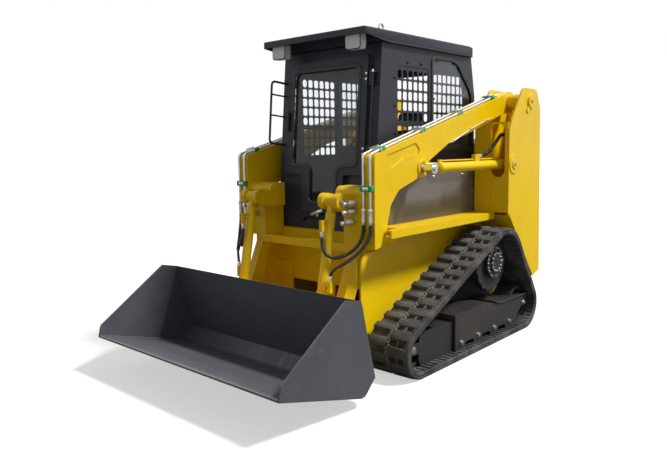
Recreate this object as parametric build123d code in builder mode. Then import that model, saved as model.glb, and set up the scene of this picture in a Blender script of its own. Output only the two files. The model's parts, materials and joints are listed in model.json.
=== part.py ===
"""Compact track loader: rubber tracks, cab, two lift arms, tilting quick-attach and bucket.

Millimetres. +X is forward, +Y the machine's left, +Z up. The origin is on the ground, in the
middle of the machine's length and width. Outlines are (x, z) points of a side view.
"""

import os
from math import acos, atan2, cos, degrees, hypot, pi, radians, sin

from build123d import *

os.makedirs("parts", exist_ok=True)

# ---- Fits ----
pin_fit = 0.05          # radial running fit of a pin in its bore
side_gap = 0.3          # beside a lug that turns on a pin
seam = 0.3              # between neighbouring panels of one body
move_gap = 5.0          # between pieces that move past each other

# ---- Stations across the machine, as |y|, each from its neighbour towards the middle ----
plate = 12.0            # chassis and upright plates
cab_half = 440.0
side_face = cab_half + 40.0                 # outer faces of the chassis side plates
track_width = 320.0
track_clear = 45.0
track_middle = side_face + track_clear + track_width / 2
upright_in = side_face + 28.0               # inner face of the inner plate
arm_in = upright_in + plate + move_gap
arm_width = 97.0
arm_out = arm_in + arm_width
lift_y = arm_out + 68.0
upright_out = lift_y + 102.0                # outer face of the outer plate
fender_edge = side_face + 195.0
fender_narrow = fender_edge - 43.0          # where the fender's outer strip begins before the step
leg_out = arm_in - 64.0
leg_width = 64.0
leg_in = leg_out - leg_width
column_in = arm_in - 160.0
tilt_y = leg_in - 32.0
bracket_in = tilt_y - 65.0
ear_plate = 15.0
ear_inner = tilt_y - 47.0                   # inner face of the inner ear
ear_outer = leg_out + 7.0                   # inner face of the outer ear
bucket_half = track_middle + track_width / 2 + 1.0

# ---- Tracks ----
track_depth = 44.0      # belt and lug together
# wheels that the belt runs round, front one first, anticlockwise seen from the machine's right:
# x, z, radius to the lug tips
track_corners = [(319.0, 168.0, 168.0), (-778.0, 565.0, 262.0), (-1121.0, 185.0, 185.0)]
belt_slack = 0.3        # between the belt and a wheel
lug_pitch = 117.0
lug_height = 20.0
# pockets between the lugs: from and to as shares of the track's width, length along the belt,
# shift in pitches
tread_pockets = [(-0.01, 0.46, 58.0, 0.0), (0.54, 0.65, 50.0, 0.5), (0.68, 0.88, 50.0, 0.5)]
wheel_width = 150.0
roller_radius = 48.0
roller_front_x = 9.0
roller_pitch = 234.0
roller_count = 5
hub_radius = 118.0
hub_reach = 62.0        # of the drive motor's hub, outward from the track's middle
axle_radius = 22.0
sprocket_half = 30.0    # half the sprocket's thickness
sprocket_notches = 16
sprocket_notch = 19.0
cheek = 18.0            # inner wall of the track frame
frame_side_wall = 30.0
frame_low = 50.0
frame_main = [(-139.0, frame_low), (-139.0, 294.0), (-595.0, 296.0), (-780.0, 256.0), (-1238.0, 250.0),
              (-1218.0, 208.0), (-1114.0, 153.0), (-990.0, frame_low)]
frame_nose = [(240.0, frame_low), (262.0, 90.0), (252.0, 250.0), (-139.0, 252.0), (-139.0, frame_low)]
frame_hole_x = -264.0
scallop = 33.0
yoke_radius = 36.0
cross_tubes_x = (-250.0, -930.0)
cross_tube = 70.0
cross_tube_z = (200.0, 250.0)

# ---- Chassis ----
chassis_front = 472.0
chassis_rear = -1440.0
chassis_low = 205.0
front_wall_x = 272.0
step_x = 302.0          # the side plates step down in front of this
step_z = 768.0
deck_z = 924.0          # top of the fenders
fender_plate = 10.0
fender_lip = 50.0
fender_tip_x = 412.0
sill_top = 295.0
wall_hole_y = (83.0, 329.0)     # |y| of the openings in the front wall
wall_hole_top = 485.0
wall_tab_z = (512.0, 609.0)
cab_floor_z = 890.0
floor_plate = 22.0

# ---- Uprights, which carry the arms ----
upright_front_x = -882.0
upright_rear_x = -1439.0
upright_foot = (-1327.0, 381.0)
upright_shoulder_z = 1540.0
upright_nose = (-915.0, 1610.0)
upright_crown = [(-1089.0, 1854.0), (-1322.0, 1850.0), (-1392.0, 1708.0)]
hole_width = 112.0
hole_low = 1190.0
hole_high = 1588.0
closing_top = 1598.0
boss_radius = 70.0

# ---- Lift arms ----
pivot = (-1218.0, 1755.0)
pivot_pin = 26.0
arm_front = 507.0
arm_top_z = 1381.0      # at the front
arm_foot_z = 812.0
arm_lug = (0.0, 1289.0)
arm_lug_radius = 62.0
arm_rear_radius = 84.0
arm_hub_radius = 62.0
arm_recess = 6.0

# ---- Lift cylinders ----
lift_foot = (-958.0, 1285.0)
lift_tube = 33.0
lift_rod = 17.0
lift_pin = 18.0
lift_tube_end = 885.0   # from the foot pin to the gland
lift_piston = 90.0      # from the foot pin, at rest
lift_eye_radius = 38.0
lift_eye_half = 28.0
line_height = 45.0      # of the steel line above the tube's axis
line_radius = 5.0
line_posts = (60.0, 862.0)      # from the foot pin
port_block = (355.0, 418.0)     # from the foot pin
port_height = 80.0
tube_wall = 6.0
gland = 45.0

# ---- Bracket and leg at the arms' front ends ----
column_front = 497.0
column_rear = 317.0
beam_z = (776.0, 830.0)
beam_x = (447.0, 497.0)
bracket_z = (1030.0, 1190.0)
bracket_rear = 362.0    # clears the visor as the arms rise
bracket_round = 45.0
tilt_pivot = (712.0, 205.0)
tilt_pin = 20.0
leg_radius = 56.0

# ---- Tilt cylinders ----
tilt_top = (602.0, 1105.0)
tilt_eye = (737.0, 390.0)
tilt_tube = 32.0
tilt_rod = 15.0
tilt_tube_top = 72.0    # from the top pin to the tube's end cap
tilt_tube_end = 600.0   # from the top pin to the gland
tilt_piston = 150.0     # from the top pin, at rest
tilt_lug = 50.0
tilt_lug_gap = 40.0     # half the clear width between the lugs
tilt_lug_width = 40.0
tilt_eye_half = 22.0
tilt_eye_radius = 38.0
upper_port = (701.0, tilt_y, 925.0)         # where the hoses meet the ports' fittings
lower_port = (699.0, tilt_y + 58.0, 624.0)

# ---- Bucket ----
bucket_side = 12.0
bucket_skin = 10.0
bucket_heel = (896.0, 57.0)
bucket_roll = 15.5      # degrees, nose up
heel_round = 60.0
# about the heel, before the roll: x, z
bucket_lip = (668.0, 0.0)
bucket_side_front = (671.0, 78.0)
bucket_side_top = (294.0, 521.0)
bucket_top = (167.0, 528.0)
bucket_back = (-69.0, 117.0)
attach_half = 560.0
attach_plate = 14.0

# ---- Cab ----
cab_skin = 12.0
cab_eave = 2093.0
cab_rear_x = -925.0
cab_rear_low_x = -984.0
cab_rear_bend_z = 1800.0
cab_front_top_x = 187.0
cab_front_slope = 0.09
post_depth = 60.0
roof_half = cab_half + 22.0
roof_depth = 76.0
roof_top = cab_eave + roof_depth
roof_front = 389.0
roof_rear = -870.0
visor_edge = 42.0
visor_slope_end = 140.0
door_thick = 30.0
door_overlap = 18.0
door_rim = 62.0         # steel round the door's glass
door_top = cab_eave - 77.0
door_wide_half = cab_half - 78.0
door_step_z = 1245.0
door_narrow_half = 190.0
door_low = 990.0
door_hinge_y = door_wide_half + 23.0
door_hinge_z = (1400.0, 1880.0)
hinge_reach = 20.0      # from a door's frame to the hinge line
hinge_pin = 9.0
hinge_half = 40.0       # half a hinge's height
hinge_wall = 6.0
pane = 5.0

# ---- Pressed window grilles ----
mesh_pitch = (57.0, 75.0)
mesh_slot = (43.0, 64.0)
mesh_corner = 12.0
mesh_middle_z = cab_eave - 442.0
mesh_rows = 8

# ---- Cab fittings ----
handle_z = 1610.0
handle_reach = 24.0
seat_half = 230.0
lamp_half = 65.0
lamp_z = (cab_eave - 51.0, cab_eave + 51.0)
lamp_y = cab_half - 105.0
lamp_face = roof_front - 37.0
eye_x = 120.0
eye_y = cab_half - 60.0
eye_ring = 20.0
eye_wire = 7.0
rail_y = 24.0 - cab_half
rail_tube = 8.0
rail_reach = 145.0
rail_z = (1455.0, 1890.0)
rail_rungs = (1653.0, 1798.0)
console_width = 110.0
console_top = 1240.0
lever_z = 1400.0

# ---- Covers beside the cab ----
panel_front = 200.0
panel_top = 1300.0
panel_skin = 20.0
panel_bulge = 20.0
panel_fold_z = 1055.0
louvre_columns = 5
louvre_rows = 4
louvre_pitch = (26.0, 72.0)
louvre_front_x = -790.0
louvre_low_z = 940.0

# ---- Rear ----
hood_half = side_face - 2.0
hood_top = 1480.0
hood_front = -990.0
hood_rear = -1452.0
rear_hinge_y = hood_half - 10.0
rear_door_half = rear_hinge_y - 20.0
rear_door_low = 520.0
rear_door_high = 1440.0
rear_door_thick = 40.0
rear_hinge_z = (1000.0, 1300.0)
vent_half = 250.0
vent_rows = 9
vent_low_z = 760.0
vent_pitch = 42.0
vent_high = 20.0
hitch_z = (360.0, 460.0)
hitch_reach = 60.0
rear_face = hood_rear - move_gap - rear_door_thick - 42.7

# ---- Hydraulic pipes and hoses ----
pipe = 8.0
pipe_lift = 13.0        # pipe middle above the arm
pipe_rows = (arm_in + 20.0, arm_in + 75.0)
pipe_end_z = 998.0
pipe_rear_x = -1060.0
clamp_share = (0.06, 0.36, 0.66, 0.94)
clamp_half = 17.0
clamp_high = 26.0
coupler_places = [(column_in + 99.0, 1090.0), (column_in + 97.0, 1038.0), (column_in + 81.0, 972.0)]
hose = 9.0


def at_side(sign):
    return "left" if sign > 0 else "right"


def tan_of(angle):
    return sin(radians(angle)) / cos(radians(angle))


def length_between(start, end):
    return hypot(end[0] - start[0], end[1] - start[1])


def outline(points, y_from, y_to, mode=Mode.ADD, corner=0.0, rounds=()):
    """A slab along Y with an (x, z) outline. Corner rounds every vertex, rounds some of them."""
    with BuildSketch(Plane.XZ.offset(-y_from)) as profile:
        with BuildLine():
            Polyline(*points, close=True)
        make_face()
        if corner:
            fillet(profile.vertices(), corner)
        for (x, z), radius in rounds:
            fillet(profile.vertices().sort_by_distance((x, z, 0))[0], radius)
    extrude(profile.sketch, amount=y_from - y_to, mode=mode)


def round_bar(point, radius, y_from, y_to, mode=Mode.ADD):
    """A pin, boss or bore along Y at an (x, z) point."""
    with BuildSketch(Plane.XZ.offset(-y_from)) as profile:
        with Locations(point):
            Circle(radius)
    extrude(profile.sketch, amount=y_from - y_to, mode=mode)


def block(x_from, x_to, y_from, y_to, z_from, z_to, mode=Mode.ADD):
    """A rectangular piece between two corners."""
    middle = ((x_from + x_to) / 2, (y_from + y_to) / 2, (z_from + z_to) / 2)
    with Locations(middle):
        Box(abs(x_to - x_from), abs(y_to - y_from), abs(z_to - z_from), mode=mode)


def link(start, end, radius, y_from, y_to, mode=Mode.ADD):
    """A bar with round ends between two (x, z) points."""
    middle = ((start[0] + end[0]) / 2, (start[1] + end[1]) / 2)
    turn = degrees(atan2(end[1] - start[1], end[0] - start[0]))
    with BuildSketch(Plane.XZ.offset(-y_from)) as profile:
        with Locations(middle):
            SlotCenterToCenter(length_between(start, end), 2 * radius, rotation=turn)
    extrude(profile.sketch, amount=y_from - y_to, mode=mode)


def write(piece, name):
    piece.part.label = name
    export_step(piece.part, f"parts/{name}.step")


def beside(start, end, reach, height=0.0):
    """The (x, z) point at a reach from start on the way to end, and at a height above that line."""
    length = length_between(start, end)
    way = ((end[0] - start[0]) / length, (end[1] - start[1]) / length)
    return (start[0] + way[0] * reach - way[1] * height, start[1] + way[1] * reach + way[0] * height)


def slab_beside(start, end, reaches, heights, y_from, y_to):
    """A rectangular piece that follows the line from start to end."""
    low, high = heights
    outline([beside(start, end, reaches[0], low), beside(start, end, reaches[1], low),
             beside(start, end, reaches[1], high), beside(start, end, reaches[0], high)], y_from, y_to)


def mirrored():
    """Repeats what the current piece holds on the machine's other side."""
    mirror(about=Plane.XZ)


def along(start, end, radius, reach_from, reach_to, y_middle, mode=Mode.ADD, height=0.0):
    """A round bar in the side view's plane, measured from start on the line to end."""
    turn = atan2(end[1] - start[1], end[0] - start[0])
    direction = (cos(turn), 0, sin(turn))
    foot = beside(start, end, reach_from, height)
    with BuildSketch(Plane(origin=(foot[0], y_middle, foot[1]), z_dir=direction)) as section:
        Circle(radius)
    extrude(section.sketch, amount=reach_to - reach_from, mode=mode)


def belt_loop(inset):
    """The closed run round the three corners of a track, as much smaller as the inset."""
    count = len(track_corners)
    normals = []
    for index in range(count):
        x_a, z_a, radius_a = track_corners[index]
        x_b, z_b, radius_b = track_corners[(index + 1) % count]
        heading = atan2(z_b - z_a, x_b - x_a)
        normals.append(heading - acos((radius_a - radius_b) / hypot(x_b - x_a, z_b - z_a)))
    for index, (x, z, radius) in enumerate(track_corners):
        before, after = normals[index - 1], normals[index]
        while after < before:
            after += 2 * pi
        reach = radius - inset
        places = [(x + reach * cos(a), z + reach * sin(a))
                  for a in (before, (before + after) / 2, after)]
        ThreePointArc(*places)
        x_b, z_b, radius_b = track_corners[(index + 1) % count]
        reach_b = radius_b - inset
        Line(places[2], (x_b + reach_b * cos(after), z_b + reach_b * sin(after)))


# ---- Tracks and what carries them ----
def rubber_track(sign):
    edge = track_middle - track_width / 2
    with BuildPart() as track:
        with BuildSketch(Plane.XZ.offset(-edge)) as ring:
            with BuildLine():
                belt_loop(0)
            make_face()
            with BuildLine():
                belt_loop(track_depth)
            make_face(mode=Mode.SUBTRACT)
        extrude(ring.sketch, amount=-track_width)
        with BuildLine(Plane.XZ) as run:
            belt_loop(0)
        loop = run.wire()
        count = round(loop.length / lug_pitch)
        for share_from, share_to, length, shift in tread_pockets:
            middle = edge + (share_from + share_to) / 2 * track_width
            pockets = []
            for index in range(count):
                share = (index + shift) / count
                way = loop.tangent_at(share)
                place = loop.position_at(share) + Vector(0, middle, 0)
                pockets.append(Plane(origin=place, x_dir=way, z_dir=(way.Z, 0, -way.X)))
            with Locations(*pockets):
                Box(length, (share_to - share_from) * track_width, 2 * lug_height, mode=Mode.SUBTRACT)
        if sign < 0:
            mirror(about=Plane.XZ, mode=Mode.REPLACE)
    write(track, f"track_{at_side(sign)}")


for side in (1, -1):
    rubber_track(side)

roller_z = track_depth + belt_slack + roller_radius
rollers_x = [roller_front_x - roller_pitch * index for index in range(roller_count)]
wheel_in = track_middle - wheel_width / 2
wheel_out = track_middle + wheel_width / 2
idlers = [track_corners[0], track_corners[2]]

with BuildPart() as track_wheels:
    for idler_x, idler_z, idler_reach in idlers:
        reach = idler_reach - track_depth - belt_slack
        round_bar((idler_x, idler_z), reach, wheel_in + 5, wheel_out - 5)
        round_bar((idler_x, idler_z), reach - 22, wheel_out - 45, wheel_out - 5, Mode.SUBTRACT)
        round_bar((idler_x, idler_z), axle_radius * 2, wheel_in, wheel_out)
    for x in rollers_x:
        round_bar((x, roller_z), roller_radius, wheel_in + 5, wheel_out - 5)
        round_bar((x, roller_z), axle_radius, wheel_in, wheel_out)
    mirrored()
write(track_wheels, "track_wheels")

drive_x, drive_z, drive_reach = track_corners[1]
with BuildPart() as drive_sprockets:
    sprocket_radius = drive_reach - track_depth - belt_slack
    with BuildSketch(Plane.XZ.offset(-(track_middle - sprocket_half))) as toothed:
        with Locations((drive_x, drive_z)):
            Circle(sprocket_radius)
            with PolarLocations(sprocket_radius + sprocket_notch / 3, sprocket_notches):
                Circle(sprocket_notch, mode=Mode.SUBTRACT)
    extrude(toothed.sketch, amount=-2 * sprocket_half)
    round_bar((drive_x, drive_z), hub_radius + 20, track_middle - 60, track_middle - sprocket_half)
    round_bar((drive_x, drive_z), hub_radius, side_face, track_middle - 60)
    round_bar((drive_x, drive_z), hub_radius, track_middle + sprocket_half, track_middle + hub_reach)
    round_bar((drive_x, drive_z), hub_radius * 0.62, track_middle + hub_reach, track_middle + hub_reach + 14)
    with BuildSketch(Plane.XZ.offset(-(track_middle + hub_reach))) as hub_bolts:
        with Locations((drive_x, drive_z)):
            with PolarLocations(hub_radius - 20, 9):
                Circle(11)
    extrude(hub_bolts.sketch, amount=-10)
    mirrored()
write(drive_sprockets, "drive_sprockets")


def track_frame(sign):
    inner, outer = wheel_in - cheek, wheel_out + frame_side_wall
    narrow = wheel_out + cheek - 6
    idler_front, idler_rear = track_corners[0], track_corners[2]
    with BuildPart() as frame:
        outline(frame_main, inner, outer, rounds=[(frame_main[1], 30), (frame_main[3], 60)])
        outline(frame_nose, inner, narrow)
        for x in rollers_x:
            round_bar((x, roller_z), roller_radius + 8, wheel_in, wheel_out, Mode.SUBTRACT)
        block(frame_main[5][0], frame_nose[0][0], wheel_in, wheel_out, 0, roller_z, Mode.SUBTRACT)
        for idler_x, idler_z, idler_reach in idlers:
            reach = idler_reach - track_depth + 10
            round_bar((idler_x, idler_z), reach, wheel_in, wheel_out, Mode.SUBTRACT)
        for x_front, x_rear in zip(rollers_x[1:], rollers_x[2:]):
            middle = (x_front + x_rear) / 2
            link((middle + scallop, frame_low), (middle - scallop, frame_low), scallop,
                 wheel_out, outer, Mode.SUBTRACT)
        with BuildSketch(Plane.XY.offset(frame_main[1][1])) as hole_in_top:
            with Locations((frame_hole_x, track_middle)):
                SlotOverall(185, 62)
        extrude(hole_in_top.sketch, amount=-70, mode=Mode.SUBTRACT)
        block(50, 170, wheel_in + 20, wheel_out - 20, roller_z, frame_nose[2][1] + 10, Mode.SUBTRACT)
        for y_from, y_to in ((inner, wheel_in), (wheel_out, narrow)):
            link((idler_front[0] - 90, idler_front[1]), idler_front[:2], yoke_radius, y_from, y_to)
            link((idler_rear[0] + 90, idler_rear[1] + 20), idler_rear[:2], yoke_radius, y_from, y_to)
        for x in cross_tubes_x:
            block(x - cross_tube, x + cross_tube, side_face, inner, *cross_tube_z)
        if sign < 0:
            mirror(about=Plane.XZ, mode=Mode.REPLACE)
    write(frame, f"track_frame_{at_side(sign)}")


for side in (1, -1):
    track_frame(side)


# ---- Chassis ----
side_in = side_face - plate


def frame_side(sign):
    with BuildPart() as frame:
        outline(
            [
                (chassis_front, chassis_low), (chassis_front, step_z), (step_x, step_z),
                (step_x, deck_z), (chassis_rear, deck_z),
                (chassis_rear, upright_foot[1]), (upright_foot[0], chassis_low),
            ],
            side_in, side_face, rounds=[((chassis_front, step_z), 60), ((chassis_front, chassis_low), 40)],
        )
        block(upright_front_x - plate, step_x, side_face, fender_edge, deck_z - fender_plate, deck_z)
        block(step_x, fender_tip_x, fender_narrow, fender_edge, deck_z - fender_plate, deck_z)
        block(upright_front_x - plate, fender_tip_x, fender_edge - plate, fender_edge,
              deck_z - fender_lip, deck_z - fender_plate)
        if sign < 0:
            mirror(about=Plane.XZ, mode=Mode.REPLACE)
    write(frame, f"frame_side_{at_side(sign)}")


for side in (1, -1):
    frame_side(side)

with BuildPart() as frame_front:
    block(front_wall_x - plate, front_wall_x, -side_in, side_in,
          chassis_low + plate, cab_floor_z - floor_plate)
    block(front_wall_x, front_wall_x + 60, 10 - column_in, column_in - 10,
          cab_floor_z - 92, cab_floor_z - floor_plate)
    block(front_wall_x, chassis_front, -side_in, side_in, chassis_low + plate, sill_top)
    for across_from, across_to in ((wall_hole_y[0], wall_hole_y[1]), (-wall_hole_y[1], -wall_hole_y[0])):
        block(front_wall_x - plate, front_wall_x, across_from, across_to,
              sill_top, wall_hole_top, Mode.SUBTRACT)
    for across_from, across_to in ((side_in - 160, side_in), (-side_in, 160 - side_in)):
        block(front_wall_x, front_wall_x + 18, across_from, across_to, *wall_tab_z)
write(frame_front, "frame_front")

with BuildPart() as frame_belly:
    block(chassis_rear, chassis_front, -side_in, side_in, chassis_low, chassis_low + plate)
    block(chassis_rear, chassis_rear + plate, -side_in, side_in, chassis_low + plate, rear_door_low - 10)
    block(rear_face + hitch_reach, chassis_rear, -side_face, side_face, 330, rear_door_low - 10)
write(frame_belly, "frame_belly")


# ---- Uprights ----
def upright(sign):
    crown = [(upright_front_x, deck_z), (upright_front_x, upright_shoulder_z), upright_nose, *upright_crown]
    crown_rounds = [(point, 58) for point in (upright_nose, *upright_crown)]
    lip = (upright_rear_x, upright_foot[1] + 35)
    toe = (upright_foot[0] - 10, upright_foot[1] + 15)
    with BuildPart() as post:
        outline([*crown, lip, upright_foot, (-895, deck_z - 6)], upright_out - plate, upright_out,
                rounds=crown_rounds)
        outline([*crown, (chassis_rear, deck_z)], upright_in, upright_in + plate, rounds=crown_rounds)
        block(upright_front_x - plate, upright_front_x, upright_in, upright_out - plate, deck_z, closing_top)
        outline([upright_crown[2], (upright_crown[2][0] + plate, upright_crown[2][1]),
                 (lip[0] + plate, lip[1]), lip], side_face, upright_out - plate)
        outline([upright_foot, (-905, deck_z - 19), (-924, deck_z - 19), toe], side_face, upright_out - plate)
        outline([lip, upright_foot, toe, (lip[0] + 4, lip[1] + 16)], side_face, upright_out - plate)
        with BuildSketch(Plane.YZ.offset(upright_front_x - plate)) as hole:
            with Locations((lift_y + 10, (hole_low + hole_high) / 2)):
                SlotOverall(hole_high - hole_low, hole_width, rotation=90)
        extrude(hole.sketch, amount=plate, mode=Mode.SUBTRACT)
        round_bar(pivot, pivot_pin, upright_in, upright_out)
        round_bar(pivot, pivot_pin + 24, upright_out, upright_out + 14)
        link(pivot, (pivot[0] + 50, pivot[1] - 66), 20, upright_out, upright_out + 8)
        round_bar(lift_foot, lift_pin, upright_in, upright_out)
        round_bar(lift_foot, boss_radius, upright_out, upright_out + 6)
        round_bar(lift_foot, lift_pin + 16, upright_out + 6, upright_out + 12)
        if sign < 0:
            mirror(about=Plane.XZ, mode=Mode.REPLACE)
    write(post, f"upright_{at_side(sign)}")


for side in (1, -1):
    upright(side)

# ---- Covers beside the cab and the engine bay ----
with BuildPart() as side_panels:
    with BuildSketch(Plane.YZ.offset(hood_front + 8)) as panel_section:
        with BuildLine():
            Polyline((side_face, deck_z), (side_face + panel_bulge, deck_z),
                     (side_face + panel_bulge, panel_fold_z), (side_face + panel_bulge - 9, panel_top),
                     (cab_half + seam, panel_top), (cab_half + seam, panel_top - panel_skin),
                     (side_face, panel_top - panel_skin), close=True)
        make_face()
    extrude(panel_section.sketch, amount=panel_front - hood_front - 8)
    for column in range(louvre_columns):
        for row in range(louvre_rows):
            x = louvre_front_x - column * louvre_pitch[0] - row * 4
            z = louvre_low_z + row * louvre_pitch[1]
            outline([(x, z), (x - 10, z), (x - 24, z + 52), (x - 14, z + 52)],
                    side_face + 3, side_face + panel_bulge, Mode.SUBTRACT)
    mirrored()
write(side_panels, "side_panels")

with BuildPart() as engine_block:
    block(-1390, -800, -240, 240, chassis_low + plate, 840)
write(engine_block, "engine_block")

with BuildPart() as tow_hitch:
    ear_high = 25.0
    block(rear_face, rear_face + hitch_reach, -60, 60, hitch_z[0], hitch_z[0] + ear_high)
    block(rear_face, rear_face + hitch_reach, -60, 60, hitch_z[1] - ear_high, hitch_z[1])
    fillet(tow_hitch.edges().filter_by(Axis.Z).group_by(Axis.X)[0], 22)
    with BuildSketch(Plane.XY.offset(hitch_z[0])) as hitch_bore:
        with Locations((rear_face + 26, 0)):
            Circle(13)
    extrude(hitch_bore.sketch, amount=hitch_z[1] - hitch_z[0], mode=Mode.SUBTRACT)
write(tow_hitch, "tow_hitch")


# ---- Cab ----
cab_in = cab_half - cab_skin


def cab_front_x(z):
    return cab_front_top_x + cab_front_slope * (cab_eave - z)


side_outline = [
    (cab_front_x(cab_floor_z), cab_floor_z), (cab_front_top_x, cab_eave), (cab_rear_x, cab_eave),
    (cab_rear_low_x, cab_rear_bend_z), (cab_rear_low_x, cab_floor_z),
]
front_grille = (-345.0, cab_eave - 778, 26.0, cab_eave - 132)
rear_window = [(-389, cab_eave - 693), (-389, cab_eave - 46), (-712, cab_eave - 46),
               (-940, cab_eave - 275), (-940, cab_eave - 693)]
window_rounds = [(rear_window[0], 30), (rear_window[1], 50), (rear_window[2], 60),
                 (rear_window[3], 60), (rear_window[4], 30)]


def cab_side(sign):
    x_rear, z_low, x_front, z_high = front_grille
    with BuildPart() as wall:
        outline(side_outline, cab_in, cab_half)
        outline([(x_rear, z_low), (x_front, z_low), (x_front, z_high), (x_rear, z_high)],
                cab_in, cab_half, Mode.SUBTRACT, corner=25)
        outline(rear_window, cab_in, cab_half, Mode.SUBTRACT, rounds=window_rounds)
        if sign < 0:
            mirror(about=Plane.XZ, mode=Mode.REPLACE)
    write(wall, f"cab_side_{at_side(sign)}")


for side in (1, -1):
    cab_side(side)


def slot_grid(places, y_from, y_to):
    """Cuts a grille's slots, each round its (x, z) place."""
    with BuildSketch(Plane.XZ.offset(-y_from)) as slots:
        with Locations(*places):
            Rectangle(*mesh_slot)
    extrude(slots.sketch, amount=y_from - y_to, mode=Mode.SUBTRACT)


mesh_z = [mesh_middle_z + (row - (mesh_rows - 1) / 2) * mesh_pitch[1] for row in range(mesh_rows)]


def rear_mesh_top(x):
    """Height of the rear window's edge at x."""
    (x_a, z_a), (x_b, z_b) = rear_window[2], rear_window[3]
    return z_a if x > x_a else z_a + (z_b - z_a) * (x - x_a) / (x_b - x_a)


with BuildPart() as window_grilles:
    x_rear, z_low, x_front, z_high = front_grille
    grille_face = cab_half - 3
    outline([(x_rear + seam, z_low + seam), (x_front - seam, z_low + seam),
             (x_front - seam, z_high - seam), (x_rear + seam, z_high - seam)],
            cab_in + 3, grille_face, corner=25)
    slot_grid([((x_rear + x_front) / 2 + (column - 2.5) * mesh_pitch[0], z)
               for column in range(6) for z in mesh_z], cab_in + 3, grille_face)
    (x_a, z_a), (x_b, z_b), (x_c, z_c), (x_d, z_d), (x_e, z_e) = rear_window
    outline([(x_a + 15, z_a - 15), (x_b + 15, z_b + 15), (x_c - 6, z_c + 15), (x_d - 15, z_d + 6),
             (x_e - 15, z_e - 15)], cab_in - 4, cab_in)
    columns = [x_a - 50 - column * mesh_pitch[0] for column in range(9)]
    slot_grid([(x, z) for x in columns for z in mesh_z
               if z > z_a and z + mesh_slot[1] / 2 < rear_mesh_top(x - mesh_slot[0] / 2)], cab_in - 4, cab_in)
    mirrored()
write(window_grilles, "window_grilles")

front_plane = Plane(origin=(cab_front_x(cab_floor_z), 0, cab_floor_z), x_dir=(0, 1, 0),
                    z_dir=(1, 0, cab_front_slope))


def on_front(z):
    """Height z measured along the sloping front from the cab's floor."""
    return (z - cab_floor_z) * hypot(1, cab_front_slope)


def door_shape(rim):
    """The door's T shape, smaller by the rim."""
    wide, narrow = door_wide_half - rim, door_narrow_half - rim
    low, step, top = on_front(door_low + rim), on_front(door_step_z + rim), on_front(door_top - rim)
    return [(-narrow, low), (narrow, low), (narrow, step), (wide, step), (wide, top), (-wide, top),
            (-wide, step), (-narrow, step)]


def front_piece(points, depth_from, depth_to, mode=Mode.ADD, corner=0.0):
    """A slab with an outline on the cab's front, between two distances ahead of its face."""
    with BuildSketch(front_plane.offset(depth_from)) as profile:
        with BuildLine():
            Polyline(*points, close=True)
        make_face()
        if corner:
            fillet(profile.vertices(), corner)
    extrude(profile.sketch, amount=depth_to - depth_from, mode=mode)


def hinge_pins(plane, across, heights):
    """Pins standing on brackets, on the plane of a door's frame."""
    for height in heights:
        with Locations(plane.location * Location((across, height, hinge_reach))):
            Cylinder(hinge_pin, 2 * hinge_half, rotation=(90, 0, 0))
        with Locations(plane.location * Location((across, height - hinge_half - 10, hinge_reach / 2 + 5))):
            Box(24, 20, hinge_reach + 10)


def hinge_knuckles(plane, across, heights, door_edge):
    """Tubes that turn on the pins, with leaves to the door's edge."""
    leaf = abs(across - door_edge) + 10
    middle = across + (leaf / 2 if door_edge > across else -leaf / 2)
    for height in heights:
        with Locations(plane.location * Location((across, height, hinge_reach))):
            Cylinder(hinge_pin + hinge_wall, 2 * (hinge_half - side_gap), rotation=(90, 0, 0))
        with Locations(plane.location * Location((middle, height, hinge_reach))):
            Box(leaf, 60, 8)
        with Locations(plane.location * Location((across, height, hinge_reach))):
            Cylinder(hinge_pin + pin_fit, 2 * hinge_half, rotation=(90, 0, 0), mode=Mode.SUBTRACT)


with BuildPart() as cab_front:
    outline([(cab_front_x(cab_floor_z), cab_floor_z), (cab_front_x(cab_eave), cab_eave),
             (cab_front_x(cab_eave) - post_depth, cab_eave),
             (cab_front_x(cab_floor_z) - post_depth, cab_floor_z)], -cab_in, cab_in)
    front_piece(door_shape(door_overlap), -post_depth - 20, 5, Mode.SUBTRACT, corner=20)
    hinge_pins(front_plane, door_hinge_y, [on_front(z) for z in door_hinge_z])
write(cab_front, "cab_front")

with BuildPart() as cab_door:
    front_piece(door_shape(0), move_gap, move_gap + door_thick, corner=20)
    front_piece(door_shape(door_rim), 0, 60, Mode.SUBTRACT, corner=40)
    hinge_knuckles(front_plane, door_hinge_y, [on_front(z) for z in door_hinge_z], door_wide_half)
    handle_plane = front_plane.offset(move_gap + door_thick + handle_reach / 2)
    with Locations(handle_plane.location * Location((door_rim / 2 - door_wide_half, on_front(handle_z), 0))):
        Box(22, 130, handle_reach)
write(cab_door, "cab_door")

with BuildPart() as door_glass:
    front_piece(door_shape(door_rim + seam), move_gap + 10, move_gap + 16, corner=40)
write(door_glass, "door_glass")

with BuildPart() as cab_rear:
    outline([(cab_rear_x + 20, cab_eave), (cab_rear_x, cab_eave), (cab_rear_low_x, cab_rear_bend_z),
             (cab_rear_low_x, cab_floor_z), (cab_rear_low_x + 20, cab_floor_z),
             (cab_rear_low_x + 20, cab_rear_bend_z)], -cab_in, cab_in)
    block(cab_rear_low_x - 30, cab_rear_x + 60, 100 - cab_half, cab_half - 100,
          cab_eave - 533, cab_eave - 103, Mode.SUBTRACT)
write(cab_rear, "cab_rear")

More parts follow.
